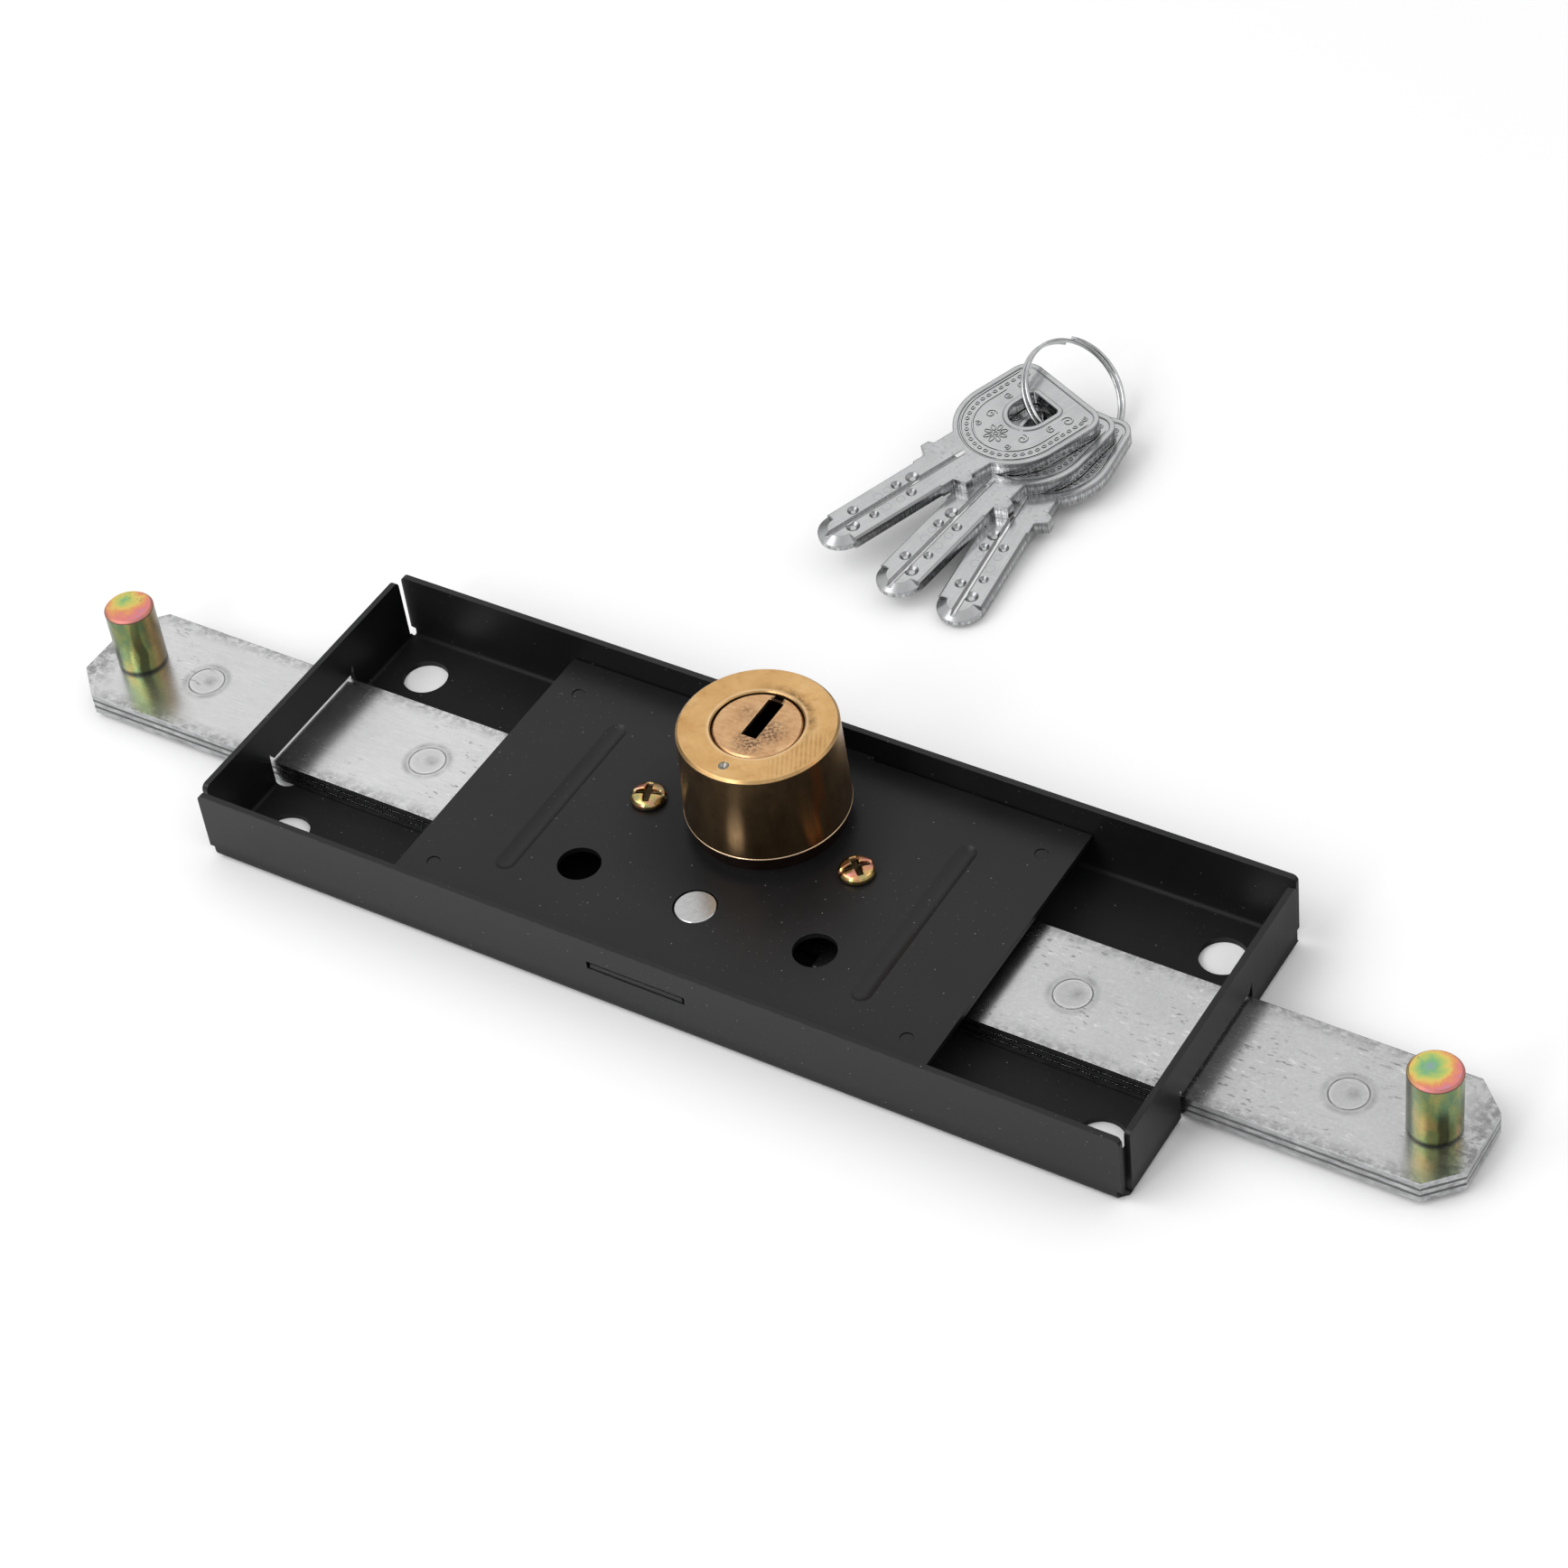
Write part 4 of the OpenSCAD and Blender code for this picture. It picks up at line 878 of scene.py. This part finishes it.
def along(path, pitch, start):
    """Points and directions every pitch along a path."""
    out, left = [], start
    for (x0, y0), (x1, y1) in zip(path, path[1:]):
        step = math.hypot(x1 - x0, y1 - y0)
        while left < step:
            f = left / step
            out.append((x0 + (x1 - x0) * f, y0 + (y1 - y0) * f, math.atan2(y1 - y0, x1 - x0)))
            left += pitch
        left -= step
    return out


def key_relief(i, body):
    """Beaded border between two lines, scrolls round the hole, and a plain rosette."""
    bm = bmesh.new()
    ridge(bm, bow_path(1.65, 60.0), 0.50, 0.17)
    ridge(bm, bow_path(4.10, 54.6), 0.50, 0.17)
    for x, y, a in along(bow_path(2.88, 59.4), 1.62, 0.6):
        ridge(bm, loop(x, y, 0.46, 0.34, a, 8), 0.34, 0.16, closed=True)
    for s in (-1, 1):
        ridge(bm, scroll(s * 7.7, 57.6, 1.45, math.pi / 2, s), 0.46, 0.17)
        ridge(bm, scroll(s * 7.2, 53.6, 1.0, -math.pi / 2, -s), 0.42, 0.17)
        ridge(bm, scroll(s * 9.6, 60.4, 0.75, 0.4, s), 0.36, 0.16)
    for k in range(8):
        a = math.pi / 8 + k * math.pi / 4
        petal = loop(1.75 * math.cos(a), ROSETTE_Y + 1.75 * math.sin(a), 0.85, 0.42, a)
        ridge(bm, petal, 0.34, 0.16, closed=True)
    ridge(bm, loop(0, ROSETTE_Y, 0.45, 0.45, 0, 12), 0.36, 0.17, closed=True)
    for s in (-1, 1):
        ridge(bm, scroll(s * 5.3, 47.6, 1.3, 0.2 if s > 0 else math.pi - 0.2, s), 0.42, 0.17)
        ridge(bm, scroll(s * 4.9, 43.9, 0.8, 1.2, -s), 0.36, 0.16)
    bmesh.ops.transform(bm, matrix=key_place(i), verts=bm.verts)
    add_piece(f"key_{i + 1}_relief", bm, body, f"relief_{i + 1}")


def split_ring():
    """Two turns of wire, finer than the CAD's, in the same place."""
    ring_r, wire_r, pitch, sides, per_turn = 12.05, 0.44, 1.35, 14, 96
    lean, start = math.radians(45), 130
    place = key_frame() @ Matrix.Translation((0, HANG_S + ring_r, 1.5 * KEY_STEP))
    place = place @ Matrix.Rotation(lean, 4, "Y")
    bm = bmesh.new()
    up = Vector((0, 0, 1))
    rings = []
    for k in range(2 * per_turn + 1):
        a = math.radians(start + 360 * k / per_turn)
        out = Vector((math.cos(a), math.sin(a), 0))
        centre = out * ring_r + up * pitch * (k / per_turn - 1)
        rings.append([bm.verts.new(centre + wire_r * (math.cos(b) * out + math.sin(b) * up))
                      for b in turns(sides)])
    skin(bm, rings)
    bmesh.ops.transform(bm, matrix=place, verts=bm.verts)
    add_piece("ring_wire", bm, "ring", "nickel", "split_ring")


def cap_lip():
    """Rolled bright lip round the foot of the cap."""
    bead = 0.22
    r, z = CAP_R / MM - 0.10, CAP_BOTTOM / MM + bead
    bm = bmesh.new()
    rings = []
    for b in turns(10):
        height, width = z + bead * math.sin(b), r + bead * math.cos(b)
        rings.append(circle(bm, CYL_X / MM, CYL_Y / MM, height, width, 128))
    skin(bm, rings, closed=True)
    add_piece("cap_lip", bm, "lock_body", "cap_lip")


def recess_depth(u, v):
    """Depth of a head's wide tapering cross and shallow slot, at a place in the head's own axes."""
    arm, side = max(abs(u), abs(v)), min(abs(u), abs(v))
    width = 0.78 - 0.10 * arm
    cross = 1 - smooth_step(width - 0.10, width + 0.10, side)
    cross *= 1 - smooth_step(2.25, 2.55, arm)
    slot = (1 - smooth_step(0.42, 0.58, abs(v))) * 0.42
    return max(cross * (1.25 - 0.22 * arm), slot)


def screw_heads():
    """Pan heads with their recesses, on plain shanks."""
    top, foot, bottom = SCREWS_HIGH.z / MM, COVER_TOP / MM, SCREWS_LOW.z / MM
    y, half, shank_r = SCREW_Y / MM, SCREW_R / MM, 1.9
    steps, sides = 26, 120
    bm = bmesh.new()
    for x, turn in ((-SCREW_X / MM, 20), (SCREW_X / MM, 48)):
        rings = []
        for k in range(1, steps + 1):
            r = half * k / steps
            dome = top - 0.95 * (r / half) ** 2.2 - 0.35 * smooth_step(0.86, 1.0, r / half)
            ring = []
            for a in turns(sides):
                b = a - math.radians(turn)
                z = dome - recess_depth(r * math.cos(b), r * math.sin(b))
                ring.append(bm.verts.new((x + r * math.cos(a), y + r * math.sin(a), z)))
            rings.append(ring)
        for r, z in ((half, foot + 0.25), (half - 0.2, foot), (shank_r, foot), (shank_r, bottom)):
            rings.append(circle(bm, x, y, z, r, sides))
        skin(bm, rings)
    add_piece("screw_heads", bm, "lock_body", "yellow_zinc", "cylinder_screws")


# Stage: pale floor, soft studio light and the photograph's camera

LIGHT_AIM = Vector((0, 0.01, 0.01))


def make_floor():
    t = Tree("floor")
    t.set(colour=0.90, metal=0.0, rough=0.9, specular=0.2)
    half = 6.0
    low = min(cad_box[0].z, 0.0)
    corners = [(-half, -half, low), (half, -half, low), (half, half, low), (-half, half, low)]
    mesh = bpy.data.meshes.new("floor")
    mesh.from_pydata(corners, [], [(0, 1, 2, 3)])
    floor = bpy.data.objects.new("floor", mesh)
    bpy.context.scene.collection.objects.link(floor)
    dress(floor, t.material)


def softbox(name, place, size, power):
    light = bpy.data.lights.new(name, "AREA")
    light.shape = "RECTANGLE"
    light.size, light.size_y = size
    light.energy = power
    lamp = bpy.data.objects.new(name, light)
    lamp.location = place
    lamp.rotation_euler = (LIGHT_AIM - Vector(place)).to_track_quat("-Z", "Y").to_euler()
    bpy.context.scene.collection.objects.link(lamp)


def make_light():
    """A white dome that is dimmer towards the horizon, with three softboxes."""
    world = bpy.data.worlds.new("studio")
    world.use_nodes = True
    nodes, links = world.node_tree.nodes, world.node_tree.links
    where = nodes.new("ShaderNodeTexCoord").outputs["Generated"]
    split = nodes.new("ShaderNodeSeparateXYZ")
    links.new(where, split.inputs[0])
    ramp = nodes.new("ShaderNodeValToRGB")
    links.new(split.outputs["Z"], ramp.inputs[0])
    elements = ramp.color_ramp.elements
    elements.new(0.5)
    for element, (z, grey) in zip(elements, ((0.0, 0.14), (0.24, 0.34), (0.55, 1.0))):
        element.position = z
        element.color = (grey, grey, grey, 1)
    background = nodes["Background"]
    links.new(ramp.outputs[0], background.inputs["Color"])
    background.inputs["Strength"].default_value = 0.96
    bpy.context.scene.world = world
    softbox("key_light", (-0.75, -0.75, 1.25), (1.1, 1.1), 9)
    softbox("front_light", (-0.13, -0.95, 0.62), (0.22, 0.5), 2.2)
    softbox("side_light", (1.1, 0.5, 0.9), (0.6, 0.8), 1)


def make_camera():
    """The photograph's camera, found by matching points of the lock to the picture."""
    data = bpy.data.cameras.new("camera")
    data.sensor_width = 36
    data.lens = 91.95
    data.clip_start, data.clip_end = 0.05, 20
    camera = bpy.data.objects.new("camera", data)
    camera.location = (0.32404, -0.41834, 0.53986)
    camera.rotation_euler = [math.radians(a) for a in (45.6259, 5.8149, 30.9005)]
    bpy.context.scene.collection.objects.link(camera)
    bpy.context.scene.camera = camera


dress_cad()
for i, body in enumerate(("top_key", "middle_key", "bottom_key")):
    key_relief(i, body)
split_ring()
cap_lip()
screw_heads()
make_floor()
make_light()
make_camera()
bpy.context.scene.view_settings.view_transform = "Standard"
